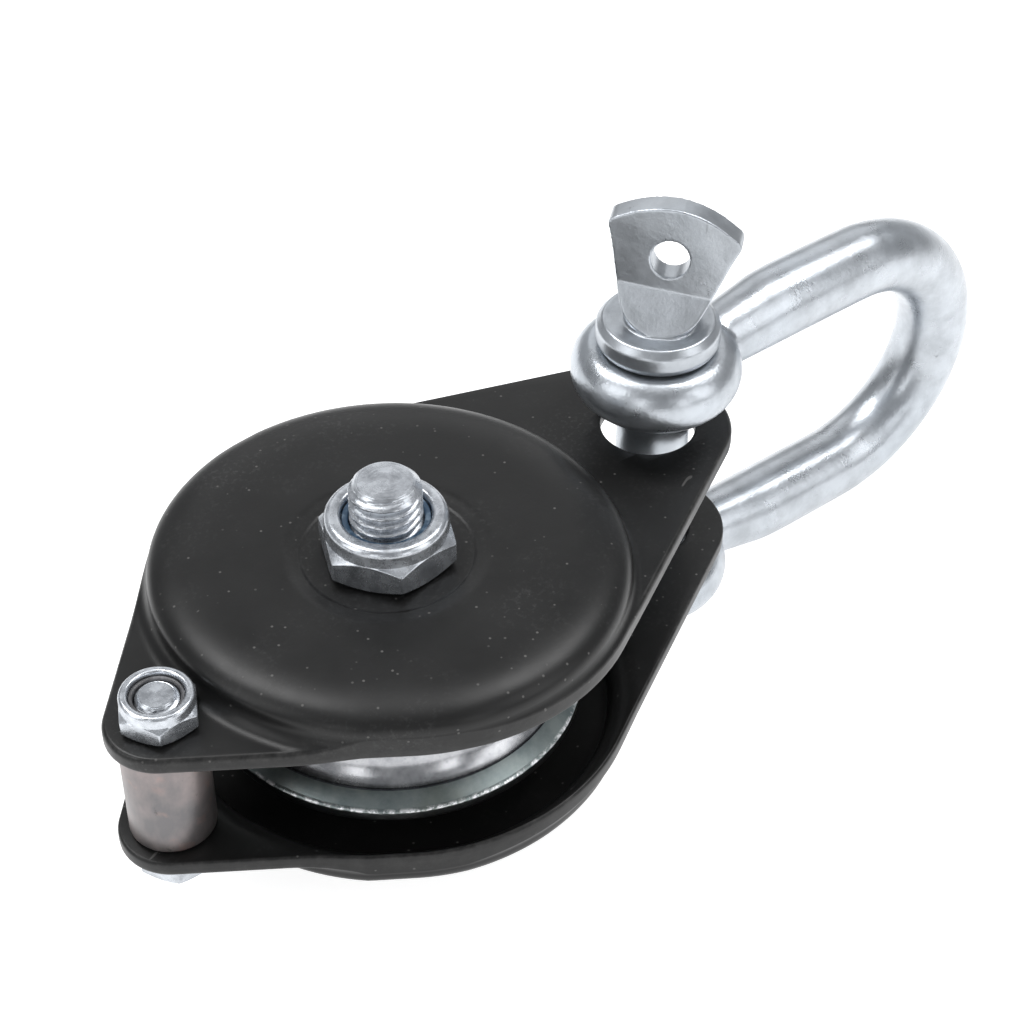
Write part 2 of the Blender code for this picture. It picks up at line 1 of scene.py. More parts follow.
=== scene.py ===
"""Looks of a single sheave block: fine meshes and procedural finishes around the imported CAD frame.

Metres, +Z up.  The origin is the sheave's centre.  +Z runs along the axle towards its lock nut, and +X
runs along the block towards the shackle.
"""

from math import acos, asin, atan2, cos, hypot, pi, radians, sin, sqrt, tan
from typing import NamedTuple

import bmesh
import bpy
import numpy as np
from mathutils import Matrix, Vector


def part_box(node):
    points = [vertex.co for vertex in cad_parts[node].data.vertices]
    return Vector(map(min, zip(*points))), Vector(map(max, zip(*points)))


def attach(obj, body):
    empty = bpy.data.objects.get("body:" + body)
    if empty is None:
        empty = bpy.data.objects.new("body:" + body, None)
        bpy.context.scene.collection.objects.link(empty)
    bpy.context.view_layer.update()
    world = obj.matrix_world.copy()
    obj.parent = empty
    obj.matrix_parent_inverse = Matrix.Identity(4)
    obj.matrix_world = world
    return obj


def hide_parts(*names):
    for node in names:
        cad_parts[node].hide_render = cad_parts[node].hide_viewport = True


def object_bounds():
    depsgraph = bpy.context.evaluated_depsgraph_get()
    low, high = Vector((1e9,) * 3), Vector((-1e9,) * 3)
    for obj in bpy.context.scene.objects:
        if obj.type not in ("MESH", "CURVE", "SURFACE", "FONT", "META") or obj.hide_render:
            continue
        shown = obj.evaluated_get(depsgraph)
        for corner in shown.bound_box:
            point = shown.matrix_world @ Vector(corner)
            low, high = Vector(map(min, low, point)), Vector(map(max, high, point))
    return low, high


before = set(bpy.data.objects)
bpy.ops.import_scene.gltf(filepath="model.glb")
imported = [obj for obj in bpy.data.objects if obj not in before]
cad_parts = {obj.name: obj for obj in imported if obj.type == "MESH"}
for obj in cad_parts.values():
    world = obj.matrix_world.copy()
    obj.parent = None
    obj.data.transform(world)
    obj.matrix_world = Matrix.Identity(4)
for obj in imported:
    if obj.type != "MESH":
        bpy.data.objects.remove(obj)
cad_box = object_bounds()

MM = 0.001
GAP = 0.3 * MM                  # clearance between pieces that touch, as in the frame
TINY = 1e-7

# ---------------- sizes that the frame's boxes don't give
SHEET = 2.5 * MM                # cheeks
MID_X = 2.2 * MM                # middle of the near side's round stretch
BECKET_X = -38.6 * MM
BECKET_EAR_RADIUS = 7.5 * MM
HEAD_X = 50.0 * MM
HEAD_EAR_RADIUS = 12.4 * MM
PIN_HOLE_RADIUS = 7.0 * MM
FAR_SIDE_MIDDLE = 1.2 * MM      # how much fuller the outline is on its +Y side
FAR_PAN_X = (5.0 * MM, 0.5 * MM)        # middles of the far side's two round stretches
HEAD_EAR_FAR_REACH = 16.3 * MM
OUTLINE_STEP = 1.0 * MM
PAN_AT = (1.1 * MM, 0.9 * MM)   # middle of the pan's wall
PAN_RADIUS = 33.1 * MM
DOME_SHOULDER = 10.0 * MM
SHOULDER_POWER = 2.5
SEAT_RADIUS = 11.9 * MM
SEAT_DEPTH = 0.6 * MM
SEAT_STEP = 0.20 * MM
SEAT_STEP_WIDTH = 0.12 * MM
SEAT_SLOPE = 2.6 * MM
OUTER_EDGE_ROUND = 0.75 * MM
INNER_EDGE_ROUND = 0.45 * MM
HOLE_FLARE = 0.35 * MM

AXLE_RADIUS = 5.0 * MM
BOLT_RADIUS = 3.0 * MM
THREAD_ROWS = 14                # rows of points to one turn of a thread

GROOVE_BOTTOM = 22.0 * MM
GROOVE_EDGE = (24.4 * MM, 4.1 * MM)
GROOVE_LIP = [(-0.02, 0.06), (-0.10, 0.13), (0.06, 0.19), (0.12, 0.22)]     # millimetres past its edge
FLANGE_LIP_Z = 6.2 * MM
FLANGE_INSIDE = 24.0 * MM
WEB_OUTSIDE = 22.8 * MM
WEB_HALF_WIDTH = 6.6 * MM
SNAP_GROOVE_DEPTH = 0.8 * MM
SNAP_GROOVE_WIDTH = 1.4 * MM
BEARING_SHOULDER = 1.9 * MM     # how far it reaches inside the bearing's seat

BALL_RADIUS = 2.38 * MM
BALL_PITCH_RADIUS = 10.0 * MM
BALL_COUNT = 8
CAGE_HALF_WALL = 0.6 * MM
OUTER_LAND = 12.0 * MM          # inside of the outer race, beside its ball track
SHIELD_REBATE = (12.6 * MM, 1.1 * MM)
SNAP_RING_INSIDE = 13.8 * MM
SNAP_RING_OPENING = radians(16)

SHACKLE_TURN = radians(-4.6)
SHACKLE_AT = Vector((51.4 * MM, 0.3 * MM, 2.0 * MM))
WIRE_RADIUS = 5.7 * MM
LEG_Z = 20.0 * MM
LEG_LENGTH = 38.4 * MM
CROWN_REACH = 21.3 * MM
JAW_Z = 13.6 * MM
EYE_OUTER_Z = 23.4 * MM
EYE_BORE = 5.75 * MM
PIN_RADIUS = 5.4 * MM
PIN_PITCH = 1.75 * MM
COLLAR_RADIUS = 9.0 * MM
COLLAR_HEIGHT = 4.3 * MM
COLLAR_DISH = 0.2 * MM
WING_HALF_THICKNESS = 1.78 * MM
WING_CREASE = 6.4 * MM          # height where the flat faces begin
WING_EYE = (2.75 * MM, 3.1 * MM)
WING_EYE_HEIGHT = 11.6 * MM
WING_TURN = radians(-49.1)
STEM_RADIUS = 5.0 * MM
WING_LEAN = radians(6.5)        # a forged wing is never quite straight
WING_LEAN_AXIS = (0.617, 0.787, 0.0)

CAMERA_TARGET = (0.0304, 0.0082, 0.0)
CAMERA_AZIMUTH = -42.696        # degrees
CAMERA_ELEVATION = 41.776
CAMERA_ROLL = radians(0.322)
CAMERA_DISTANCE = 0.35023
CAMERA_LENS = 82.97
WORLD_STRENGTH = 0.36
FLOOR_REACH = 4.0
FLOOR_GLOW = 0.84

# name, degrees from the camera's azimuth, elevation, distance, size, power
LIGHTS = [
    ("overhead", -CAMERA_AZIMUTH, 89, 0.75, (0.5, 0.5), 0.5),
    ("left_box", -62, 34, 0.8, (0.35, 0.6), 1.5),
    ("right_box", 66, 30, 0.8, (0.35, 0.6), 1.3),
    ("front_left", -20, 20, 0.9, (0.16, 0.45), 0.6),
    ("front_right", 34, 18, 0.9, (0.16, 0.45), 0.6),
    ("high_left", -118, 63, 0.8, (0.26, 0.4), 3.0),
    ("high_right", 118, 63, 0.8, (0.26, 0.4), 3.0),
    ("behind", 180, 30, 0.9, (0.7, 0.4), 0.75),
]


class Fastener(NamedTuple):
    """A hexagon bolt and its nylon-insert lock nut."""

    x: float                    # where the axis stands
    radius: float
    pitch: float
    flats: float
    turn: float                 # direction of a corner
    nut_hexagon: float          # height of the nut's hexagon
    head_height: float
    end_radius: float           # of the bolt's chamfered end
    collar_inside: float
    ring_outside: float
    ring_dip: float             # how far the nylon lies below the collar
    ring_finish: str


FASTENERS = {
    "axle": Fastener(
        x=0.0, radius=AXLE_RADIUS, pitch=1.5 * MM, flats=17.0 * MM, turn=radians(-118.3),
        nut_hexagon=4.4 * MM, head_height=6.4 * MM, end_radius=3.9 * MM,
        collar_inside=6.15 * MM, ring_outside=6.0 * MM, ring_dip=0.2 * MM, ring_finish="nylon_blue"),
    "spacer": Fastener(
        x=BECKET_X, radius=BOLT_RADIUS, pitch=1.0 * MM, flats=9.9 * MM, turn=radians(-124.1),
        nut_hexagon=2.8 * MM, head_height=4.0 * MM, end_radius=2.35 * MM,
        collar_inside=3.75 * MM, ring_outside=3.65 * MM, ring_dip=0.0, ring_finish="nylon_grey"),
}


# ---------------- outlines and bodies
def fillet(corners, steps=4):
    """A closed outline with rounded corners, from (r, z, rounding); the rounded points carry wear 1."""
    points = []
    count = len(corners)
    for k, (r, z, size) in enumerate(corners):
        here = Vector((r, z))
        back = Vector(corners[k - 1][:2]) - here
        ahead = Vector(corners[(k + 1) % count][:2]) - here
        if size <= 0 or back.length < TINY or ahead.length < TINY:
            points.append((r, z, 0.0))
            continue
        opening = back.angle(ahead)
        reach = min(size / max(tan(opening / 2), TINY), 0.45 * min(back.length, ahead.length))
        radius = reach * tan(opening / 2)
        start = here + back.normalized() * reach
        middle = (back.normalized() + ahead.normalized()).normalized()
        centre = here + middle * (radius / max(sin(opening / 2), TINY))
        end = here + ahead.normalized() * reach
        first = start - centre
        last = end - centre
        sweep = first.angle(last, 0.0)
        for j in range(steps + 1):
            share = j / steps
            if sweep < 1e-4:
                spot = start.lerp(end, share)
            else:
                spot = centre + (first * sin((1 - share) * sweep) + last * sin(share * sweep)) / sin(sweep)
            points.append((spot.x, spot.y, 1.0 if 0 < j < steps else 0.3))
    return points


def add_object(name, data):
    obj = bpy.data.objects.new(name, data)
    bpy.context.scene.collection.objects.link(obj)
    return obj


def mesh_object(name, vertices, faces, wear=None):
    """An object from vertices and faces, closed and facing outwards, with its wear as an attribute."""
    mesh = bpy.data.meshes.new(name)
    mesh.from_pydata([tuple(v) for v in vertices], [], faces)
    if wear is not None:
        layer = mesh.attributes.new("wear", "FLOAT", "POINT")
        layer.data.foreach_set("value", np.asarray(wear, np.float32))
    work = bmesh.new()
    work.from_mesh(mesh)
    bmesh.ops.remove_doubles(work, verts=work.verts, dist=TINY * 10)
    bmesh.ops.recalc_face_normals(work, faces=work.faces)
    work.to_mesh(mesh)
    work.free()
    return add_object(name, mesh)


def shade(obj, angle=32.0):
    obj.data.shade_smooth()
    obj.data.set_sharp_from_angle(angle=radians(angle))
    return obj


def body_around(name, angles, section):
    """A body around Z from (r, z, wear) sections, one for each angle.

    A section that starts and ends on the axis makes a solid bar, any other closes on itself.
    """
    rings = np.array([section(angle) for angle in angles])
    steps, count = rings.shape[:2]
    solid = rings[0, 0, 0] < TINY and rings[0, -1, 0] < TINY
    turn = np.array(angles)[:, None]
    r, z = rings[:, :, 0], rings[:, :, 1]
    places = np.stack([r * np.cos(turn), r * np.sin(turn), z], axis=2)
    faces = []
    for k in range(steps):
        here = k * count
        after = (k + 1) % steps * count
        for j in range(count - 1 if solid else count):
            up = (j + 1) % count
            faces.append((here + j, here + up, after + up, after + j))
    return mesh_object(name, places.reshape(-1, 3), faces, rings[:, :, 2].reshape(-1))


def capped_tube(name, vertices, count):
    """A tube through rings of count vertices each, with a face over both ends."""
    last = len(vertices) - count
    faces = []
    for here in range(0, last, count):
        for j in range(count):
            up = (j + 1) % count
            faces.append((here + j, here + up, here + count + up, here + count + j))
    faces.append(tuple(range(count)))
    faces.append(tuple(range(last, last + count)))
    return mesh_object(name, vertices, faces)


def full_turn(steps, start=0.0):
    return [start + 2 * pi * k / steps for k in range(steps)]


def turned(name, corners, steps=128, rounding=4, start=0.0):
    """A turned body from one outline of (r, z, rounding)."""
    outline = fillet(corners, rounding)
    return body_around(name, full_turn(steps, start), lambda angle: outline)


def square_ring(inside, outside, low, high, rounding):
    """Corners of a ring's section, all four rounded alike."""
    return [
        (inside, low, rounding),
        (outside, low, rounding),
        (outside, high, rounding),
        (inside, high, rounding),
    ]


def rod_tool(radius, low, high, steps, start=0.0):
    """A cutter: a plain rod along Z."""
    return turned("rod_tool", square_ring(0.0, radius, low, high, 0.0), steps, start=start)


def place(obj, matrix):
    obj.data.transform(matrix)
    return obj


def apply_modifiers(obj):
    bpy.context.view_layer.update()
    graph = bpy.context.evaluated_depsgraph_get()
    mesh = bpy.data.meshes.new_from_object(obj.evaluated_get(graph))
    old = obj.data
    obj.modifiers.clear()
    obj.data = mesh
    bpy.data.meshes.remove(old)


def combine(obj, operation, tools):
    """Joins the tools to obj or takes them out of it, and removes them."""
    for tool in tools:
        modifier = obj.modifiers.new("combine", "BOOLEAN")
        modifier.operation = operation
        modifier.object = tool
    apply_modifiers(obj)
    for tool in tools:
        bpy.data.objects.remove(tool, do_unlink=True)


def forge(obj, voxel, rounds):
    """Blends the joined shapes of a forging: an even remesh, then smoothing."""
    remesh = obj.modifiers.new("even", "REMESH")
    remesh.mode = "VOXEL"
    remesh.voxel_size = voxel
    smooth = obj.modifiers.new("soften", "SMOOTH")
    smooth.factor = 0.5
    smooth.iterations = rounds
    apply_modifiers(obj)
    obj.data.shade_smooth()


# ---------------- materials
class Finish:
    """A procedural material, built node by node around one Principled shader."""

    def __init__(self, name):
        self.material = bpy.data.materials.new(name)
        self.material.use_nodes = True
        self.tree = self.material.node_tree
        self.shader = self.tree.nodes["Principled BSDF"]
        self.place = self.add("ShaderNodeTexCoord").outputs["Object"]

    def add(self, kind, inputs=(), **settings):
        node = self.tree.nodes.new(kind)
        for key, value in settings.items():
            setattr(node, key, value)
        for key, value in dict(inputs).items():
            self.feed(node.inputs[key], value)
        return node

    def feed(self, socket, value):
        if isinstance(value, bpy.types.NodeSocket):
            self.tree.links.new(value, socket)
        else:
            socket.default_value = value

    def stretched(self, scale):
        return self.add("ShaderNodeMapping", {"Vector": self.place, "Scale": scale}).outputs["Vector"]

    def noise(self, scale, detail=4.0, roughness=0.55, vector=None, distortion=0.0):
        inputs = {"Vector": vector or self.place, "Scale": scale, "Detail": detail,
                  "Roughness": roughness, "Distortion": distortion}
        return self.add("ShaderNodeTexNoise", inputs).outputs["Fac"]

    def ramp(self, value, low, high, to_low=0.0, to_high=1.0):
        inputs = {"Value": value, "From Min": low, "From Max": high, "To Min": to_low, "To Max": to_high}
        return self.add("ShaderNodeMapRange", inputs).outputs["Result"]

    def specks(self, scale, size, share):
        """Small round specks, in about the given share of the cells of a pattern."""
        cells = self.add("ShaderNodeTexVoronoi", {"Vector": self.place, "Scale": scale})
        near = self.ramp(cells.outputs["Distance"], size, size * 0.5)
        parts = self.add("ShaderNodeSeparateColor", {"Color": cells.outputs["Color"]})
        chosen = self.ramp(parts.outputs["Red"], share, share * 0.6)
        return self.math("MULTIPLY", near, chosen)

    def math(self, operation, first, second=0.0):
        return self.add("ShaderNodeMath", {0: first, 1: second}, operation=operation).outputs[0]

    def mix(self, share, first, second):
        node = self.add("ShaderNodeMix", {"Factor": share}, data_type="RGBA")
        self.feed(node.inputs["A"], first)
        self.feed(node.inputs["B"], second)
        return node.outputs["Result"]

    def wear(self):
        return self.add("ShaderNodeAttribute", attribute_name="wear").outputs["Fac"]

    def axis_distance(self, centre=(0.0, 0.0)):
        """Distance from a vertical axis."""
        parts = self.add("ShaderNodeSeparateXYZ", {"Vector": self.place}).outputs
        across = self.math("SUBTRACT", parts["X"], centre[0])
        along = self.math("SUBTRACT", parts["Y"], centre[1])
        squares = [self.math("MULTIPLY", side, side) for side in (across, along)]
        return self.math("SQRT", self.math("ADD", *squares))

    def around_axis(self, centre=(0.0, 0.0)):
        """Coordinates that only change away from a vertical axis and along it, for turned marks."""
        parts = {"X": self.axis_distance(centre), "Y": self.height()}
        return self.add("ShaderNodeCombineXYZ", parts).outputs["Vector"]

    def height(self):
        return self.add("ShaderNodeSeparateXYZ", {"Vector": self.place}).outputs["Z"]

    def bump(self, height, distance, strength=1.0, under=None):
        inputs = {"Height": height, "Distance": distance, "Strength": strength}
        if under:
            inputs["Normal"] = under
        return self.add("ShaderNodeBump", inputs).outputs["Normal"]

    def finish(self, colour, roughness, normal=None, metallic=0.0, level=0.5):
        self.feed(self.shader.inputs["Base Color"], colour)
        self.feed(self.shader.inputs["Roughness"], roughness)
        self.shader.inputs["Metallic"].default_value = metallic
        self.shader.inputs["Specular IOR Level"].default_value = level
        if normal:
            self.feed(self.shader.inputs["Normal"], normal)
        return self.material


def grey(value):
    return (value, value, value, 1)


def black_paint(name):
    """Stamped steel in semi-gloss black: fine dust, a few light flecks and scuffs, rubbed edges."""
    f = Finish(name)
    cloud = f.noise(60, 5, 0.6)
    grain = f.noise(1500, 3, 0.6)
    base = f.mix(f.ramp(cloud, 0.35, 0.7), grey(0.0070), grey(0.0105))
    near_seat = f.ramp(f.axis_distance(), SEAT_RADIUS + 4 * MM, SEAT_RADIUS - 1 * MM, 0.0, 0.35)
    near_pin = f.ramp(f.axis_distance((HEAD_X, 0.0)), 14 * MM, 8 * MM, 0.0, 0.25)
    gathered = f.math("ADD", f.ramp(cloud, 0.5, 0.75), f.math("ADD", near_seat, near_pin))
    haze = f.math("MULTIPLY", gathered, f.ramp(grain, 0.52, 0.70, 0.0, 0.5))
    base = f.mix(haze, base, grey(0.055))
    dust = f.specks(760, 0.17, 0.27)
    base = f.mix(f.math("MULTIPLY", dust, 0.65), base, (0.12, 0.117, 0.113, 1))
    flecks = f.specks(190, 0.05, 0.30)
    base = f.mix(f.math("MULTIPLY", flecks, 0.55), base, (0.30, 0.295, 0.285, 1))
    scuff = f.noise(420, 2, 0.5, f.stretched((0.4, 1.0, 1.0)), 0.6)
    base = f.mix(f.ramp(scuff, 0.76, 0.78, 0.0, 0.3), base, (0.20, 0.195, 0.19, 1))
    rub = f.math("MULTIPLY", f.wear(), f.ramp(f.noise(420, 4, 0.7), 0.42, 0.75))
    base = f.mix(f.math("MULTIPLY", rub, 0.35), base, (0.09, 0.088, 0.086, 1))
    rough = f.ramp(f.noise(90, 4, 0.6), 0.3, 0.7, 0.30, 0.40)
    rough = f.math("ADD", rough, f.math("MULTIPLY", dust, 0.2))
    peel = f.bump(f.noise(520, 3, 0.5), 0.02 * MM, 0.6)
    normal = f.bump(f.noise(2600, 2, 0.5), 0.006 * MM, 0.8, peel)
    return f.finish(base, rough, normal, level=0.27)


def plated(name, streak, rough=(0.25, 0.35), pits=0.4, hammer=0.05):
    """Zinc-plated forgings: softly mottled, with dark pits; streak scales the marks that run along."""
    f = Finish(name)
    mottle = f.noise(210, 6, 0.6)
    colour = f.mix(f.ramp(mottle, 0.36, 0.62), (0.39, 0.4134, 0.4407, 1), (0.50, 0.53, 0.565, 1))
    blush = f.ramp(f.noise(45, 3, 0.5), 0.45, 0.7, 0.0, 0.5)
    colour = f.mix(blush, colour, (0.47, 0.52, 0.57, 1))
    marks = f.ramp(f.noise(900, 4, 0.7), 0.66, 0.74, 0.0, pits)
    lines = f.noise(420, 5, 0.7, f.stretched(streak), 0.3)
    marks = f.math("MAXIMUM", marks, f.ramp(lines, 0.66, 0.76, 0.0, 0.7))
    colour = f.mix(marks, colour, (0.14, 0.145, 0.155, 1))
    gloss = f.ramp(f.noise(260, 5, 0.6), 0.3, 0.7, rough[0], rough[1])
    gloss = f.math("ADD", gloss, f.math("MULTIPLY", marks, 0.2))
    coarse = f.bump(f.noise(760, 3, 0.55), hammer * MM, 0.5)
    fine = f.bump(f.noise(1900, 3, 0.65), hammer * 0.8 * MM, 0.9, coarse)
    return f.finish(colour, gloss, fine, metallic=0.92)


def brushed_zinc(name, ring_centre=None):
    """Machined and plated fasteners: fine tool marks around their axis."""
    f = Finish(name)
    mottle = f.noise(500, 5, 0.6)
    colour = f.mix(f.ramp(mottle, 0.35, 0.65), (0.40, 0.42, 0.45, 1), (0.62, 0.65, 0.69, 1))
    smudge = f.ramp(f.noise(160, 4, 0.7), 0.58, 0.72, 0.0, 0.55)
    colour = f.mix(smudge, colour, (0.20, 0.21, 0.225, 1))
    if ring_centre is None:
        lines = f.noise(700, 2, 0.5, f.stretched((1, 1, 14)))
    else:
        lines = f.noise(4200, 2, 0.5, f.around_axis(ring_centre))
    gloss = f.ramp(mottle, 0.3, 0.7, 0.20, 0.32)
    coarse = f.bump(lines, 0.02 * MM, 0.6)
    fine = f.bump(f.noise(900, 3, 0.6), 0.025 * MM, 0.7, coarse)
    return f.finish(colour, gloss, fine, metallic=0.88)


def sheave_zinc(name):
    """The sheave: a polished groove, a greenish passivated flange and a chipped bright rim, with painted
    shade in the step at the groove's edge and on the lower face below the rim's lip.
    """
    f = Finish(name)
    radius = f.axis_distance()
    band = f.ramp(radius, GROOVE_EDGE[0] - 0.05 * MM, GROOVE_EDGE[0] + 0.1 * MM)
    blotch = f.noise(230, 5, 0.65)
    groove = f.mix(f.ramp(blotch, 0.35, 0.65), (0.26, 0.265, 0.28, 1), (0.46, 0.465, 0.48, 1))
    flange = f.mix(f.ramp(blotch, 0.35, 0.65), (0.17, 0.205, 0.21, 1), (0.27, 0.305, 0.30, 1))
    warm = f.ramp(f.noise(70, 3, 0.5), 0.5, 0.68, 0.0, 0.5)
    flange = f.mix(warm, flange, (0.26, 0.275, 0.23, 1))
    colour = f.mix(band, groove, flange)
    speck = f.ramp(f.noise(1300, 3, 0.6), 0.64, 0.72, 0.0, 0.6)
    colour = f.mix(speck, colour, (0.25, 0.27, 0.29, 1))
    # Painted shade: a thin dark line along the groove's edge, in the crease of the small step between
    # groove and flange.
    step_crease_shade = f.math("COMPARE", radius, GROOVE_EDGE[0])
    step_crease_shade.node.inputs[2].default_value = 0.13 * MM
    colour = f.mix(f.math("MULTIPLY", step_crease_shade, 0.8), colour, (0.05, 0.05, 0.06, 1))
    rim = f.ramp(radius, 26.35 * MM, 26.6 * MM)
    # Painted shade: everything below z -6.25 mm, the sheave's lower face under its rim's lip, is darkened
    # nearly to black. The upper face is left bright, and the rim's chips are kept off it.
    under = f.ramp(f.height(), -6.5 * MM, -6.25 * MM, 1.0, 0.0)
    colour = f.mix(f.math("MULTIPLY", under, 0.85), colour, (0.06, 0.06, 0.062, 1))
    chips = f.math("MULTIPLY", rim, f.ramp(f.noise(800, 4, 0.7), 0.46, 0.58))
    chips = f.math("MULTIPLY", chips, f.math("SUBTRACT", 1.0, under))
    colour = f.mix(chips, colour, (0.86, 0.87, 0.88, 1))
    gloss = f.ramp(blotch, 0.3, 0.7, 0.19, 0.28)
    gloss = f.math("ADD", gloss, f.math("MULTIPLY", band, 0.10))
    rings = f.bump(f.noise(3200, 3, 0.6, f.around_axis()), 0.012 * MM, 0.5)
    rough_rim = f.math("MULTIPLY", f.noise(900, 4, 0.7), f.math("ADD", rim, 0.08))
    normal = f.bump(rough_rim, 0.12 * MM, 0.8, rings)
    return f.finish(colour, gloss, normal, metallic=1.0)


def bare_steel(name):
    """The spacer tube: unplated steel, grey-brown with copper-pink patches and rub marks."""
    f = Finish(name)
    cloud = f.noise(130, 5, 0.6, f.stretched((1, 1, 0.6)))
    colour = f.mix(f.ramp(cloud, 0.38, 0.62), (0.15, 0.145, 0.148, 1), (0.27, 0.235, 0.23, 1))
    pink = f.ramp(f.noise(190, 4, 0.6), 0.55, 0.68, 0.0, 0.7)
    colour = f.mix(pink, colour, (0.33, 0.225, 0.20, 1))
    dark = f.ramp(f.noise(500, 4, 0.7), 0.62, 0.72, 0.0, 0.6)
    colour = f.mix(dark, colour, (0.07, 0.065, 0.065, 1))
    nick = f.specks(260, 0.12, 0.10)
    colour = f.mix(nick, colour, grey(0.7))
    gloss = f.ramp(cloud, 0.3, 0.7, 0.30, 0.42)
    lines = f.bump(f.noise(900, 3, 0.6, f.stretched((1, 1, 0.12))), 0.02 * MM, 0.5)
    return f.finish(colour, gloss, f.bump(dark, 0.02 * MM, 0.4, lines), metallic=0.85)


def bearing_steel(name):
    f = Finish(name)
    mottle = f.noise(400, 4, 0.6)
    colour = f.mix(mottle, (0.58, 0.58, 0.60, 1), (0.78, 0.78, 0.79, 1))
    normal = f.bump(f.noise(5000, 2, 0.5, f.around_axis()), 0.008 * MM, 0.5)
    return f.finish(colour, f.ramp(mottle, 0.3, 0.7, 0.10, 0.2), normal, metallic=1.0)


def nylon(name, tone, smear):
    """The lock ring of a nut, scored by the thread that has been driven through it."""
    f = Finish(name)
    cloud = f.noise(700, 4, 0.6)
    colour = f.mix(f.ramp(cloud, 0.5, 0.7), tone + (1,), smear + (1,))
    score = f.bump(f.noise(2600, 3, 0.6, f.stretched((1, 1, 3))), 0.05 * MM, 0.8)
    return f.finish(colour, f.ramp(cloud, 0.3, 0.7, 0.28, 0.5), score, level=0.5)


def make_finishes():
    return {
        "paint": black_paint("black_paint_finish"),
        "bow": plated("forged_zinc_finish", (0.12, 1.0, 1.0)),
        "pin": plated("pin_zinc_finish", (1.0, 1.0, 0.12), (0.27, 0.37), pits=0.3, hammer=0.03),
        "nut": brushed_zinc("nut_zinc_finish"),
        "axle": brushed_zinc("axle_zinc_finish", (0.0, 0.0)),
        "spacer": brushed_zinc("bolt_zinc_finish", (BECKET_X, 0.0)),
        "sheave": sheave_zinc("sheave_zinc_finish"),
        "raw": bare_steel("bare_steel_finish"),
        "bearing": bearing_steel("bearing_steel_finish"),
        "nylon_blue": nylon("nylon_blue_finish", (0.035, 0.075, 0.13), (0.22, 0.30, 0.38)),
        "nylon_grey": nylon("nylon_grey_finish", (0.045, 0.045, 0.048), (0.14, 0.14, 0.15)),
    }


def hand_over(obj, node, body, slot, material):
    """The piece takes its finish, rides on its body and stands for its CAD node."""
    obj.data.materials.clear()
    obj.data.materials.append(material)
    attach(obj, body)
    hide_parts(node)


# ---------------- cheeks
def cheek_outline(middle_radius):
    """Plan outline of a cheek, counter-clockwise from +X: a belt around its pan and its two ears.

    The far side (+Y) is a little fuller than the near one.
    """
    fuller = middle_radius + FAR_SIDE_MIDDLE
    far = belt(HEAD_EAR_FAR_REACH, [(FAR_PAN_X[0], fuller), (FAR_PAN_X[1], fuller)])
    near = belt(HEAD_EAR_RADIUS, [(MID_X, middle_radius)])
    return far + [(x, -y) for x, y in reversed(near[1:-1])]


def belt(head_reach, discs):
    """Half of a belt outline, from +X round to -X: the upper hull of the ears and the pan's discs."""
    turns = [pi * k / 240 for k in range(241)]
    points = [(HEAD_X + HEAD_EAR_RADIUS * cos(t), head_reach * sin(t)) for t in turns]
    points += [(BECKET_X + BECKET_EAR_RADIUS * cos(t), BECKET_EAR_RADIUS * sin(t)) for t in turns]
    for x, radius in discs:
        points += [(x + radius * cos(t), radius * sin(t)) for t in turns]
    hull = []
    for x, y in sorted(points, reverse=True):
        while len(hull) > 1 and turns_right(hull[-2], hull[-1], (x, y)):
            hull.pop()
        hull.append((x, y))
    line = [hull[0]]
    for point in hull[1:]:
        gap = hypot(point[0] - line[-1][0], point[1] - line[-1][1])
        if gap < OUTLINE_STEP / 2 and point is not hull[-1]:
            continue
        line += between(line[-1], point, int(gap / OUTLINE_STEP) + 1)
        line.append(point)
    return line


def turns_right(first, second, third):
    across = (second[0] - first[0]) * (third[1] - first[1])
    return across - (second[1] - first[1]) * (third[0] - first[0]) <= 0


def between(start, end, parts):
    shares = [k / parts for k in range(1, parts)]
    return [(start[0] + (end[0] - start[0]) * s, start[1] + (end[1] - start[1]) * s) for s in shares]


def wall_radius(angle):
    """Distance from the axle to the pan's wall, whose circle lies a little off the axle."""
    along = PAN_AT[0] * cos(angle) + PAN_AT[1] * sin(angle)
    across = PAN_AT[1] * cos(angle) - PAN_AT[0] * sin(angle)
    return along + sqrt(PAN_RADIUS ** 2 - across ** 2)


def foot_fillet(angle):
    """Radius of the pan's foot: softer towards the spacer than towards the shackle."""
    return (1.9 - 0.5 * cos(angle)) * MM


def seat_height(r, top):
    """The nut seat: a flat, a small pressed step, and a soft slope up to the pan's top."""
    rise = SEAT_DEPTH - SEAT_STEP
    step = SEAT_STEP / (1 + np.exp(-(r - SEAT_RADIUS) / SEAT_STEP_WIDTH))
    slope = max(0.0, min(1.0, (r - SEAT_RADIUS) / SEAT_SLOPE))
    return top - SEAT_DEPTH + step + rise * slope * slope * (3 - 2 * slope)


def shoulder(start, foot_z, width, top):
    """The pan's rounded shoulder, from its top down to the wall, as a squared quarter of an ellipse."""
    steps = 22
    points = []
    for k in range(steps + 1):
        share = pi / 2 * k / steps
        along = sin(share) ** (2 / SHOULDER_POWER)
        fall = cos(share) ** (2 / SHOULDER_POWER) if k < steps else 0.0
        points.append((start + width * along, foot_z + (top - foot_z) * fall))
    return points


def bend(centre, radius, start, end, steps, wear=0.0):
    """Points of an arc, without its first one, as (r, z, wear)."""
    turns = [start + (end - start) * k / steps for k in range(1, steps + 1)]
    return [(centre[0] + radius * cos(t), centre[1] + radius * sin(t), wear) for t in turns]


def straight(start, end, steps, wear=0.0):
    """Points of a straight line, without its first one, as (r, z, wear)."""
    return [(r, z, wear) for r, z in between(start, end, steps) + [end]]


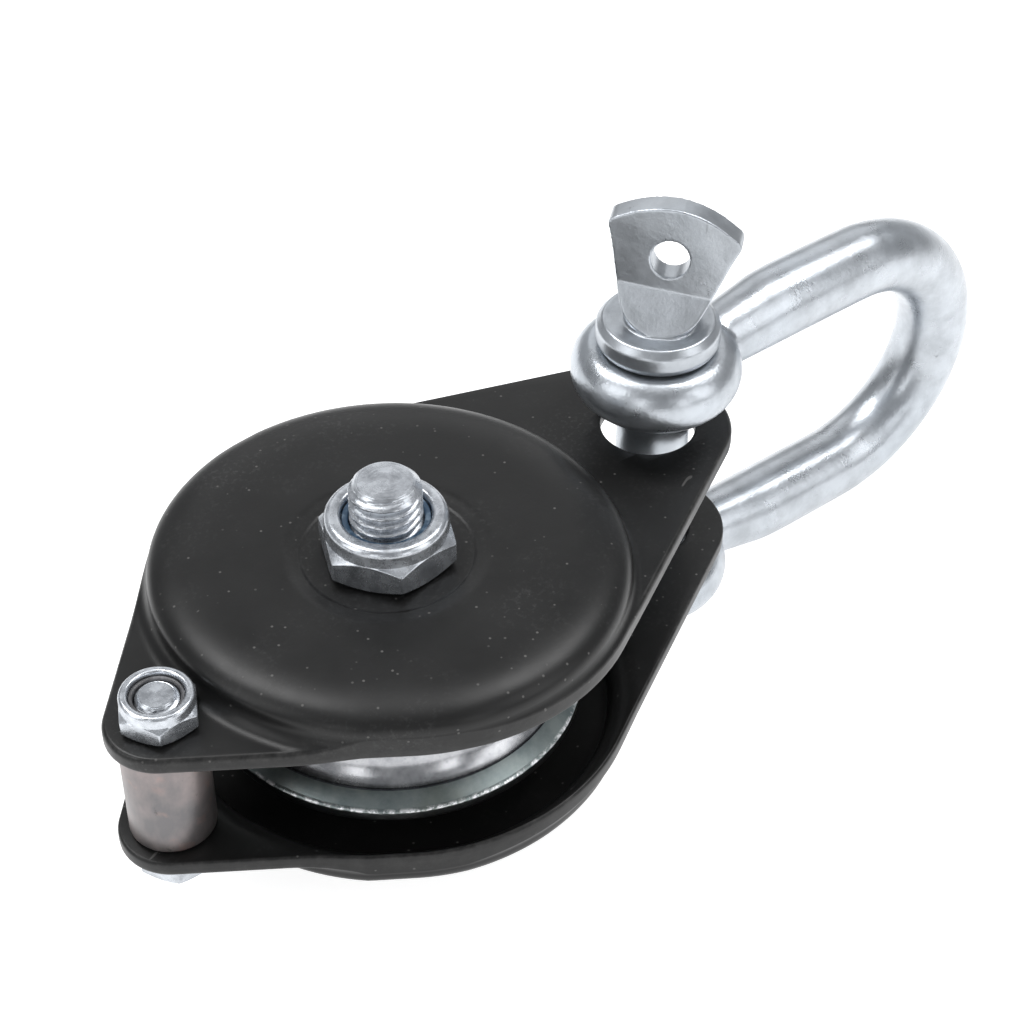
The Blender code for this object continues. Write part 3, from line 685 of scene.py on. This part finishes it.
def cheek_section(angle, reach, low, top, bore):
    """Section of a cheek along one ray, as closed (r, z, wear) points.

    The outer face runs over the shoulder and the foot's fillet to the outline, where the sheet is cut
    upright; the inner face comes back a sheet's thickness away.
    """
    radius = foot_fillet(angle)
    foot = min(wall_radius(angle), reach - 0.05 * MM)
    start = foot - DOME_SHOULDER
    foot_z = low + radius

    flat = [bore + (SEAT_RADIUS - 0.5 * MM - bore) * k / 5 for k in range(6)]
    flat += [SEAT_RADIUS + (k * 0.1 - 0.4) * MM for k in range(9)]
    flat += [SEAT_RADIUS + (0.6 + 0.35 * k) * MM for k in range(7)]
    outside = SEAT_RADIUS + 3.2 * MM
    flat += [outside + (start - outside) * k / 8 for k in range(8)]
    line = [(r, seat_height(r, top), 0.0) for r in flat]
    line += [(r, z, 0.0) for r, z in shoulder(start, foot_z, DOME_SHOULDER, top)]

    spare = (reach - foot) / (radius + OUTER_EDGE_ROUND)
    turn = acos(1 - spare) if spare < 1 else pi / 2
    centre = (foot + radius, foot_z)
    line += bend(centre, radius, pi, pi + turn, 10)
    here_r, here_z = line[-1][:2]
    last_r = max(reach - OUTER_EDGE_ROUND * (1 - cos(turn)), here_r)
    line += straight((here_r, here_z), (last_r, here_z), 6)
    edge_z = here_z - OUTER_EDGE_ROUND * sin(turn)
    line += bend((reach - OUTER_EDGE_ROUND, edge_z), OUTER_EDGE_ROUND, turn, 0.0, 6, sin(turn))

    outer_radius = radius + SHEET
    end_r = reach - INNER_EDGE_ROUND
    share = (centre[0] - end_r) / outer_radius
    inner_turn = acos(share) if share > 0 else pi / 2
    bottom = foot_z - outer_radius * sin(inner_turn)
    line += straight((reach, edge_z), (reach, bottom + INNER_EDGE_ROUND), 3, 0.4)
    line += bend((end_r, bottom + INNER_EDGE_ROUND), INNER_EDGE_ROUND, 0.0, -pi / 2, 4, 1.0)
    line[-1] = (end_r, bottom, 0.3)
    line += straight((end_r, bottom), (centre[0] - outer_radius * cos(inner_turn), bottom), 6)
    line += bend(centre, outer_radius, pi + inner_turn, pi, 10)
    under = shoulder(start, foot_z, DOME_SHOULDER - SHEET, top - SHEET)
    line += [(r, z, 0.0) for r, z in reversed(under[:-1])]
    line += [(r, seat_height(r, top) - SHEET, 0.0) for r in reversed(flat)]
    return line


def make_cheek(name, node, side, material):
    low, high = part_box(node)
    top = max(abs(low.z), abs(high.z))
    ear = min(abs(low.z), abs(high.z)) + SHEET
    rays = {}
    for x, y in cheek_outline(-low.y):
        rays[atan2(y, x)] = hypot(x, y)
    bore = AXLE_RADIUS + GAP

    def section(angle):
        return cheek_section(angle, rays[angle], ear, top, bore)

    cheek = body_around(name, sorted(rays), section)
    middle = ear - SHEET / 2
    pin_hole = hole_tool(PIN_HOLE_RADIUS, middle, HEAD_X, 128)
    bolt_hole = hole_tool(BOLT_RADIUS + GAP, middle, BECKET_X, 64)
    combine(cheek, "DIFFERENCE", [pin_hole, bolt_hole])
    if side < 0:
        cheek.data.transform(Matrix.Scale(-1, 4, (0, 0, 1)))
        cheek.data.flip_normals()
    shade(cheek, 40)
    hand_over(cheek, node, "cheeks", "black_paint", material)


def hole_tool(radius, middle, x, steps):
    """A cutter that flares at both faces of the sheet, so that the hole's edges are rounded."""
    half = SHEET / 2
    outside = 4 * MM
    wide = radius + HOLE_FLARE
    upper = [
        (radius, half - HOLE_FLARE),
        (radius + HOLE_FLARE * 0.35, half - HOLE_FLARE * 0.35),
        (wide, half),
        (wide, outside),
        (0.0, outside),
    ]
    outline = [(r, middle - z, 0.0) for r, z in reversed(upper)]
    outline += [(r, middle + z, 0.0) for r, z in upper]
    return place(turned("hole_tool", outline, steps, start=0.013), Matrix.Translation((x, 0, 0)))


# ---------------- fasteners
def hexagon_reach(angle, flats, turn, rounding):
    """Distance from the axis to a hexagon with rounded corners; turn points at a corner."""
    off = (angle - turn + pi / 6) % (pi / 3) - pi / 6
    centre = (flats / 2 - rounding) / cos(pi / 6)
    tangent = atan2(rounding * sin(pi / 6), centre + rounding * cos(pi / 6))
    if abs(off) < tangent:
        return centre * cos(off) + sqrt(rounding ** 2 - (centre * sin(off)) ** 2)
    return flats / 2 / cos(pi / 6 - abs(off))


def hexagon_angles(turn, steps):
    """Angles that crowd towards the corners, where the outline bends."""
    angles = []
    for side in range(6):
        for k in range(steps):
            share = k / steps
            eased = share - 0.13 * sin(2 * pi * share)
            angles.append(turn + (side + eased) * pi / 3)
    return angles


def lock_nut(name, node, size):
    """A nylon-insert lock nut: chamfered hexagon, rolled collar, open seat for the insert."""
    low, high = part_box(node)
    base, top = low.z, high.z
    flats = size.flats
    bore = size.radius + GAP
    collar = flats * 0.498
    hex_top = base + size.nut_hexagon
    soft = flats * 0.012

    def section(angle):
        reach = hexagon_reach(angle, flats, size.turn, flats * 0.028)
        under = max(0.0, reach - flats * 0.485) * tan(radians(30))
        above = max(0.0, reach - collar) * tan(radians(31))
        return fillet([
            (bore, base, soft),
            (flats * 0.485, base, 0.0),
            (reach, base + under, soft * 0.6),
            (reach, hex_top - above, soft * 0.8),
            (collar + 0.02 * MM, hex_top + 0.04 * MM, 0.0),
            (collar, hex_top + 0.1 * MM, 0.0),
            (collar, top, flats * 0.062),
            (size.collar_inside, top, flats * 0.035),
            (size.collar_inside, hex_top, 0.0),
            (bore, hex_top, 0.0),
        ], 5)

    nut = body_around(name, hexagon_angles(size.turn, 30), section)
    return shade(place(nut, Matrix.Translation((size.x, 0, 0))), 28)


def lock_ring(name, node, size):
    """The nylon ring, dished towards the thread."""
    low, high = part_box(node)
    top = high.z - size.ring_dip
    inside = size.radius + 0.1 * MM
    corners = [
        (inside, low.z, 0.0),
        (size.ring_outside, low.z, 0.0),
        (size.ring_outside, top, 0.15 * MM),
        (inside, top - 0.2 * MM, 0.3 * MM),
    ]
    return shade(place(turned(name, corners), Matrix.Translation((size.x, 0, 0))))


def thread_radius(z, angle, radius, pitch):
    """Radius of a right-hand thread with blunt crests and rounded roots."""
    phase = (z / pitch - angle / (2 * pi)) % 1.0
    rise = min(1.0, max(0.0, (abs(2 * phase - 1) - 0.1) / 0.72))
    smooth = rise * rise * (3 - 2 * rise)
    return radius - 0.58 * pitch * (1 - 0.35 * rise - 0.65 * smooth)


def hex_bolt(name, node, thread_low, size):
    """A hexagon bolt, head down: plain shank, rolled thread and a chamfered end."""
    low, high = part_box(node)
    base, end = low.z, high.z
    radius, pitch, flats = size.radius, size.pitch, size.flats
    head_top = base + size.head_height
    rows = int((end - thread_low) / pitch * THREAD_ROWS)
    soft = flats * 0.012

    def section(angle):
        reach = hexagon_reach(angle, flats, size.turn, flats * 0.028)
        drop = max(0.0, reach - flats * 0.475) * tan(radians(30))
        head = fillet([
            (0.0, base, 0.0),
            (flats * 0.475, base, 0.0),
            (reach, base + drop, soft),
            (reach, head_top, soft),
            (radius + 0.1 * MM, head_top, 0.0),
            (radius, head_top + 0.1 * MM, 0.0),
        ])
        points = head + [(radius, thread_low - 2 * pitch, 0.0), (radius, thread_low - 0.4 * pitch, 0.0)]
        for k in range(rows + 1):
            z = thread_low + (end - thread_low) * k / rows
            fade = min(1.0, (z - thread_low) / pitch)
            cone = size.end_radius + (end - z) * 0.95
            cut_in = thread_radius(z, angle, radius, pitch)
            points.append((min(radius + (cut_in - radius) * fade, cone), z, 0.0))
        rim = points.pop()[0]
        points += [(rim - 0.02 * MM, end - 0.09 * MM, 1.0), (rim - 0.12 * MM, end, 1.0)]
        points += [(rim * 0.6, end, 0.0), (0.0, end, 0.0)]
        return points

    bolt = body_around(name, hexagon_angles(size.turn, 24), section)
    return shade(place(bolt, Matrix.Translation((size.x, 0, 0))), 30)


def make_fasteners(finishes):
    for label, size in FASTENERS.items():
        nut_node = label + "_nut"
        ring_node = label + "_nut_insert"
        bolt_node = label + "_bolt"
        nut = lock_nut(label + "_lock_nut", nut_node, size)
        hand_over(nut, nut_node, "cheeks", "zinc", finishes["nut"])
        ring = lock_ring(label + "_lock_ring", ring_node, size)
        hand_over(ring, ring_node, "cheeks", size.ring_finish, finishes[size.ring_finish])
        bolt = hex_bolt(label + "_hex_bolt", bolt_node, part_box(nut_node)[0].z, size)
        hand_over(bolt, bolt_node, "cheeks", "zinc", finishes[label])


def make_spacer(material):
    low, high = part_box("spacer_tube")
    inside = BOLT_RADIUS + GAP
    outside = (high.y - low.y) / 2
    corners = [
        (inside, low.z, 0.25 * MM),
        (outside, low.z, 0.5 * MM),
        (outside, high.z, 0.5 * MM),
        (inside, high.z, 0.25 * MM),
    ]
    tube = shade(place(turned("becket_spacer", corners), Matrix.Translation((BECKET_X, 0, 0))))
    hand_over(tube, "spacer_tube", "cheeks", "raw_steel", material)


# ---------------- sheave and bearing
def make_sheave(material):
    low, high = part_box("sheave")
    rim, half = high.y, high.z
    edge_r, edge_z = GROOVE_EDGE
    depth = edge_r - GROOVE_BOTTOM
    groove = (depth ** 2 + edge_z ** 2) / (2 * depth)
    reach = asin(edge_z / groove)
    turns = [reach * k / 24 for k in range(25)]
    upper = [(GROOVE_BOTTOM + groove * (1 - cos(t)), groove * sin(t), 0.0) for t in turns]
    upper += [(edge_r + r * MM, edge_z + z * MM, 0.0) for r, z in GROOVE_LIP]
    side = [
        (rim, FLANGE_LIP_Z, 0.28 * MM),
        (rim, half, 0.55 * MM),
        (FLANGE_INSIDE, half, 0.4 * MM),
        (WEB_OUTSIDE, WEB_HALF_WIDTH, 0.8 * MM),
    ]
    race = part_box("bearing_outer_race")[1]
    seat = race.y + GAP
    seat_half = race.z + GAP
    snap = seat + SNAP_GROOVE_DEPTH
    snap_top = seat_half + SNAP_GROOVE_WIDTH
    shoulder_r = seat - BEARING_SHOULDER
    bore = [
        (seat, WEB_HALF_WIDTH, 0.3 * MM),
        (seat, snap_top, 0.0),
        (snap, snap_top, 0.0),
        (snap, seat_half, 0.0),
        (seat, seat_half, 0.0),
        (seat, -seat_half, 0.0),
        (shoulder_r, -seat_half, 0.1 * MM),
        (shoulder_r, -WEB_HALF_WIDTH, 0.3 * MM),
    ]
    lower = [(r, -z, rounding) for r, z, rounding in reversed(upper[1:] + side)]
    wheel = shade(turned("grooved_sheave", lower + upper + side + bore, 224, 5), 38)
    hand_over(wheel, "sheave", "wheel", "passivated_zinc", material)


def track(sign, land):
    """The ball track of a race; sign is +1 for the outer race."""
    steps = 16
    radius = BALL_RADIUS + 0.2 * MM
    limit = acos(abs(land - BALL_PITCH_RADIUS) / radius)
    turns = [-limit + 2 * limit * k / steps for k in range(steps + 1)]
    return [(BALL_PITCH_RADIUS + sign * radius * cos(t), radius * sin(t), 0.0) for t in turns]


def make_bearing(finishes):
    steel = finishes["bearing"]
    low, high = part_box("bearing_inner_race")
    half = high.z
    soft = 0.3 * MM
    bore = AXLE_RADIUS + GAP
    inner_land = high.y
    corners = [(bore, -half, soft), (inner_land, -half, soft)] + track(-1, inner_land)
    corners += [(inner_land, half, soft), (bore, half, soft)]
    hand_over(shade(turned("inner_race", corners)), "bearing_inner_race", "cheeks", "bearing_steel", steel)

    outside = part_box("bearing_outer_race")[1].y
    rebate, depth = SHIELD_REBATE
    shelf = half - depth
    corners = [(rebate, -half, 0.1 * MM), (rebate, -shelf, 0.0), (OUTER_LAND, -shelf, 0.0)]
    corners += track(1, OUTER_LAND)
    corners += [(OUTER_LAND, shelf, 0.0), (rebate, shelf, 0.0), (rebate, half, 0.1 * MM)]
    corners += [(outside, half, soft), (outside, -half, soft)]
    hand_over(shade(turned("outer_race", corners)), "bearing_outer_race", "wheel", "bearing_steel", steel)

    for name in ("bearing_shield_upper", "bearing_shield_lower"):
        low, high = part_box(name)
        corners = square_ring(inner_land + GAP, high.y, low.z, high.z, 0.12 * MM)
        hand_over(shade(turned(name + "_disc", corners)), name, "wheel", "bearing_steel", steel)
    make_balls(steel)
    make_cage(finishes["raw"])
    make_snap_ring(steel)
    for name in ("hub_spacer_upper", "hub_spacer_lower"):
        low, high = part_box(name)
        corners = square_ring(bore, high.y, low.z, high.z, soft)
        hand_over(shade(turned(name + "_sleeve", corners)), name, "cheeks", "zinc", finishes["axle"])


def make_balls(material):
    for k in range(1, BALL_COUNT + 1):
        node = "bearing_ball_%d" % k
        low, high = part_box(node)
        mesh = bpy.data.meshes.new("ball_%d" % k)
        work = bmesh.new()
        bmesh.ops.create_icosphere(work, subdivisions=4, radius=BALL_RADIUS)
        work.to_mesh(mesh)
        work.free()
        mesh.shade_smooth()
        ball = place(add_object("ball_%d" % k, mesh), Matrix.Translation((low + high) / 2))
        hand_over(ball, node, "ball_cage", "bearing_steel", material)


def make_cage(material):
    low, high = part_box("bearing_cage")
    inside, outside = BALL_PITCH_RADIUS - CAGE_HALF_WALL, BALL_PITCH_RADIUS + CAGE_HALF_WALL
    cage = turned("ball_retainer", square_ring(inside, outside, -high.z, high.z, 0.15 * MM), 160)
    tools = []
    for k in range(BALL_COUNT):
        tool = rod_tool(BALL_RADIUS + GAP, BALL_PITCH_RADIUS - 3 * MM, BALL_PITCH_RADIUS + 3 * MM, 48, 0.02)
        turn = Matrix.Rotation(2 * pi * k / BALL_COUNT, 4, "Z") @ Matrix.Rotation(pi / 2, 4, "Y")
        tools.append(place(tool, turn))
    combine(cage, "DIFFERENCE", tools)
    hand_over(shade(cage), "bearing_cage", "ball_cage", "raw_steel", material)


def make_snap_ring(material):
    """The retaining ring: round-edged wire, its ends square, its gap towards the shackle."""
    low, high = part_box("bearing_retaining_ring")
    outline = fillet(square_ring(SNAP_RING_INSIDE, high.y, low.z, high.z, 0.2 * MM), 3)
    steps = 150
    sweep = 2 * pi - 2 * SNAP_RING_OPENING
    angles = [SNAP_RING_OPENING + sweep * k / steps for k in range(steps + 1)]
    vertices = [(r * cos(a), r * sin(a), z) for a in angles for r, z, _ in outline]
    ring = capped_tube("snap_ring", vertices, len(outline))
    hand_over(shade(ring), "bearing_retaining_ring", "wheel", "bearing_steel", material)


# ---------------- shackle
def shackle_matrix():
    return Matrix.Translation(SHACKLE_AT) @ Matrix.Rotation(SHACKLE_TURN, 4, "Z")


def spline(points, parts):
    """A smooth line through points, by Catmull-Rom, with the given number of parts between two points."""
    data = np.array([points[0]] + list(points) + [points[-1]], float)
    line = []
    for k in range(1, len(data) - 2):
        a, b, c, d = data[k - 1:k + 3]
        for j in range(parts):
            t = j / parts
            curve = (2 * a - 5 * b + 4 * c - d) * t ** 2 + (3 * b - a - 3 * c + d) * t ** 3
            line.append(0.5 * (2 * b + (c - a) * t + curve))
    line.append(data[-2])
    return np.array(line)


def bow_line():
    """Centre line (x, z) and wire radius, from the upper eye round to the lower one."""
    leg = [(5.0, 18.6, 4.3), (9.0, 18.6, 4.6), (12.5, 18.8, 4.9), (18.5, 19.5, 5.4), (24.0, 20.0, 5.7)]
    leg = [(x * MM, z * MM, r * MM) for x, z, r in leg]
    leg.append((LEG_LENGTH, LEG_Z, WIRE_RADIUS))
    crown = []
    steps = 18
    for k in range(1, steps):
        turn = pi / 2 - pi * k / steps
        crown.append((LEG_LENGTH + CROWN_REACH * cos(turn), LEG_Z * sin(turn), WIRE_RADIUS))
    return spline(leg + crown + [(x, -z, r) for x, z, r in reversed(leg)], 6)


def swept_wire(name, line, steps):
    """Round wire along a line of (x, z, radius)."""
    vertices = []
    for k, (x, z, radius) in enumerate(line):
        run = line[min(k + 1, len(line) - 1)] - line[max(k - 1, 0)]
        along = Vector((run[0], 0.0, run[1])).normalized()
        across = Vector((0.0, 1.0, 0.0)).cross(along)
        for turn in full_turn(steps):
            offset = across * (radius * cos(turn)) + Vector((0.0, radius * sin(turn), 0.0))
            vertices.append(Vector((x, 0.0, z)) + offset)
    return capped_tube(name, vertices, steps)


def eye_body(name, side):
    """The barrel of one eye, rounded like a forging."""
    profile = [(8.0, 0.0), (10.0, 1.0), (11.8, 2.9), (12.5, 5.1), (12.2, 7.2), (11.2, 8.8), (9.7, 9.8)]
    line = spline([(r * MM, JAW_Z + z * MM) for r, z in profile], 6)
    points = [(0.0, JAW_Z, 0.0)] + [(r, z, 0.0) for r, z in line] + [(0.0, EYE_OUTER_Z, 0.0)]
    return turned(name, [(r, side * z, rounding) for r, z, rounding in points])


def make_bow(material):
    bow = swept_wire("shackle_bow_forging", bow_line(), 48)
    combine(bow, "UNION", [eye_body("upper_eye", 1), eye_body("lower_eye", -1)])
    forge(bow, 0.4 * MM, 7)
    combine(bow, "DIFFERENCE", [rod_tool(EYE_BORE, -30 * MM, 30 * MM, 96, 0.01)])
    shade(bow, 45)
    place(bow, shackle_matrix())
    hand_over(bow, "shackle_bow", "shackle", "zinc", material)


def wing_half_outline():
    """Right half of the wing as (half width, height above its base), foot to top."""
    points = [(4.9, -0.6), (5.1, 1.2), (5.8, 3.4), (6.8, 6.2), (7.7, 9.6), (8.6, 13.0), (9.25, 15.0)]
    points += [(9.4, 15.7), (9.0, 16.5), (7.8, 17.3), (5.6, 18.5), (3.0, 19.4), (0.6, 19.78)]
    return spline([(w * MM, h * MM) for w, h in points], 8)


def wing_blank(name, base):
    """The forged blank of the wing: round at the foot, flat-sided above."""
    steps = 96
    vertices = []
    for width, height in wing_half_outline():
        share = min(1.0, max(0.0, height / WING_CREASE))
        power = 2.0 + 6.0 * share
        for turn in full_turn(steps):
            c, s = cos(turn), sin(turn)
            x = width * np.sign(c) * abs(c) ** (2 / power)
            y = STEM_RADIUS * np.sign(s) * abs(s) ** (2 / power)
            vertices.append((x, y, base + height))
    return capped_tube(name, vertices, steps)


def wing_cheek_tool(name, base, side):
    """Takes one side of the blank down to the wing's flat face, with a slope below the crease."""
    reach, top, outside, foot = 15 * MM, 25 * MM, 10 * MM, 0.2 * MM
    profile = [
        (WING_HALF_THICKNESS, WING_CREASE),
        (WING_HALF_THICKNESS, top),
        (outside, top),
        (outside, foot),
        (STEM_RADIUS + 0.1 * MM, foot),
    ]
    vertices = [(x, side * y, base + z) for x in (-reach, reach) for y, z in profile]
    count = len(profile)
    faces = [tuple(range(count)), tuple(range(count, 2 * count))]
    faces += [(j, (j + 1) % count, (j + 1) % count + count, j + count) for j in range(count)]
    return mesh_object(name, vertices, faces)


def make_wing(base):
    """The pin's wing with its oval eye, turned and leaning about its foot."""
    wing = wing_blank("pin_wing", base)
    combine(wing, "DIFFERENCE", [wing_cheek_tool("flat_tool", base, s) for s in (-1, 1)])
    tool = rod_tool(1.0, -8 * MM, 8 * MM, 64)       # one metre in radius, scaled to the oval below
    for vertex in tool.data.vertices:
        x, y, z = vertex.co
        vertex.co = (x * WING_EYE[0], z, y * WING_EYE[1] + base + WING_EYE_HEIGHT)
    tool.data.flip_normals()
    combine(wing, "DIFFERENCE", [tool])
    place(wing, Matrix.Rotation(WING_TURN, 4, "Z"))
    foot = Matrix.Translation((0, 0, base))
    place(wing, foot @ Matrix.Rotation(WING_LEAN, 4, Vector(WING_LEAN_AXIS)) @ foot.inverted())
    return wing


def make_collar(low, high):
    """The pin's collar: rounded at both edges, with a shallow dish around the wing's foot."""
    plug = PIN_RADIUS - 0.1 * MM
    dish = high - COLLAR_DISH
    return turned("pin_collar", [
        (0.0, low - 1.2 * MM, 0.0),
        (plug, low - 1.2 * MM, 0.0),
        (plug, low, 0.0),
        (COLLAR_RADIUS - 0.5 * MM, low, 0.4 * MM),
        (COLLAR_RADIUS, low + 1.0 * MM, 0.5 * MM),
        (COLLAR_RADIUS, high - 1.1 * MM, 0.6 * MM),
        (COLLAR_RADIUS - 1.0 * MM, high, 0.6 * MM),
        (7.0 * MM, high - 0.15 * MM, 0.3 * MM),
        (5.5 * MM, dish, 0.0),
        (STEM_RADIUS - 1.2 * MM, dish, 0.0),
        (0.0, dish, 0.0),
    ])


def make_shank(tip, top):
    """The pin below its collar: plain in the upper eye, threaded in the lower one."""
    thread_top = -JAW_Z + 0.5 * MM
    rows = int((thread_top - tip) / PIN_PITCH * THREAD_ROWS)

    def section(angle):
        points = [(0.0, tip, 0.0), (PIN_RADIUS - 1.5 * MM, tip, 1.0)]
        for k in range(rows + 1):
            z = tip + 0.15 * MM + (thread_top - tip) * k / rows
            fade = min(1.0, (thread_top - z) / PIN_PITCH) if z < thread_top else 0.0
            cut_in = thread_radius(z, angle, PIN_RADIUS, PIN_PITCH)
            cone = PIN_RADIUS - 1.35 * MM + (z - tip)
            points.append((min(PIN_RADIUS + (cut_in - PIN_RADIUS) * fade, cone), z, 0.0))
        points += [(PIN_RADIUS, thread_top + 2 * MM, 0.0), (PIN_RADIUS, top - 1.5 * MM, 0.0)]
        return points + [(PIN_RADIUS, top, 0.0), (0.0, top, 0.0)]

    return body_around("winged_pin", full_turn(96), section)


def make_pin(material):
    collar_low = EYE_OUTER_Z + GAP
    collar_high = collar_low + COLLAR_HEIGHT
    collar = make_collar(collar_low, collar_high)
    combine(collar, "UNION", [make_wing(collar_high - 0.5 * MM)])
    forge(collar, 0.17 * MM, 3)
    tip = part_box("shackle_pin")[0].z - SHACKLE_AT.z
    pin = make_shank(tip, collar_low + 0.5 * MM)
    combine(pin, "UNION", [collar])
    shade(pin, 50)
    place(pin, shackle_matrix())
    hand_over(pin, "shackle_pin", "pin", "zinc", material)


# ---------------- studio
def around(azimuth, elevation, distance, target):
    """A place seen from the target: azimuth 0 is towards -Y, as the camera's is counted."""
    a, e = radians(azimuth), radians(elevation)
    return Vector(target) + distance * Vector((sin(a) * cos(e), -cos(a) * cos(e), sin(e)))


def area_light(name, where, size, power):
    """A rectangular light that faces the camera's target."""
    data = bpy.data.lights.new(name, "AREA")
    data.shape = "RECTANGLE"
    data.size, data.size_y = size
    data.energy = power
    light = add_object(name, data)
    light.location = where
    light.rotation_euler = (Vector(CAMERA_TARGET) - where).to_track_quat("-Z", "Y").to_euler()


def make_camera():
    back = around(CAMERA_AZIMUTH, CAMERA_ELEVATION, 1.0, (0, 0, 0))
    right = Vector((cos(radians(CAMERA_AZIMUTH)), sin(radians(CAMERA_AZIMUTH)), 0.0))
    up = back.cross(right)
    level = right * cos(CAMERA_ROLL) + up * sin(CAMERA_ROLL)
    upright = up * cos(CAMERA_ROLL) - right * sin(CAMERA_ROLL)
    data = bpy.data.cameras.new("camera")
    data.sensor_width = 36.0
    data.lens = CAMERA_LENS
    data.clip_start = 0.01
    camera = add_object("camera", data)
    matrix = Matrix((level, upright, back)).transposed().to_4x4()
    matrix.translation = Vector(CAMERA_TARGET) + back * CAMERA_DISTANCE
    camera.matrix_world = matrix
    bpy.context.scene.camera = camera


def make_floor(z):
    """White paper that glows, so that the background stays white."""
    reach = FLOOR_REACH
    mesh = bpy.data.meshes.new("floor")
    corners = [(x, y, z) for x, y in ((-reach, -reach), (reach, -reach), (reach, reach), (-reach, reach))]
    mesh.from_pydata(corners, [], [(0, 1, 2, 3)])
    floor = add_object("floor", mesh)
    f = Finish("floor_paper")
    tone = f.mix(f.noise(3, 2, 0.5), grey(0.55), grey(0.58))
    material = f.finish(tone, 0.9, level=0.1)
    f.shader.inputs["Emission Color"].default_value = grey(1)
    f.shader.inputs["Emission Strength"].default_value = FLOOR_GLOW
    mesh.materials.append(material)


def make_studio():
    scene = bpy.context.scene
    scene.view_settings.view_transform = "Standard"
    make_camera()

    world = bpy.data.worlds.new("studio")
    scene.world = world
    world.use_nodes = True
    background = world.node_tree.nodes["Background"]
    background.inputs["Color"].default_value = (0.95, 0.97, 1.0, 1)
    background.inputs["Strength"].default_value = WORLD_STRENGTH
    for name, azimuth, elevation, distance, size, power in LIGHTS:
        where = around(CAMERA_AZIMUTH + azimuth, elevation, distance, CAMERA_TARGET)
        area_light(name, where, size, power)
    make_floor(cad_box[0].z)


# ---------------- the model
finishes = make_finishes()
make_cheek("upper_cheek_pan", "upper_cheek", 1, finishes["paint"])
make_cheek("lower_cheek_pan", "lower_cheek", -1, finishes["paint"])
make_fasteners(finishes)
make_spacer(finishes["raw"])
make_sheave(finishes["sheave"])
make_bearing(finishes)
make_bow(finishes["bow"])
make_pin(finishes["pin"])
make_studio()
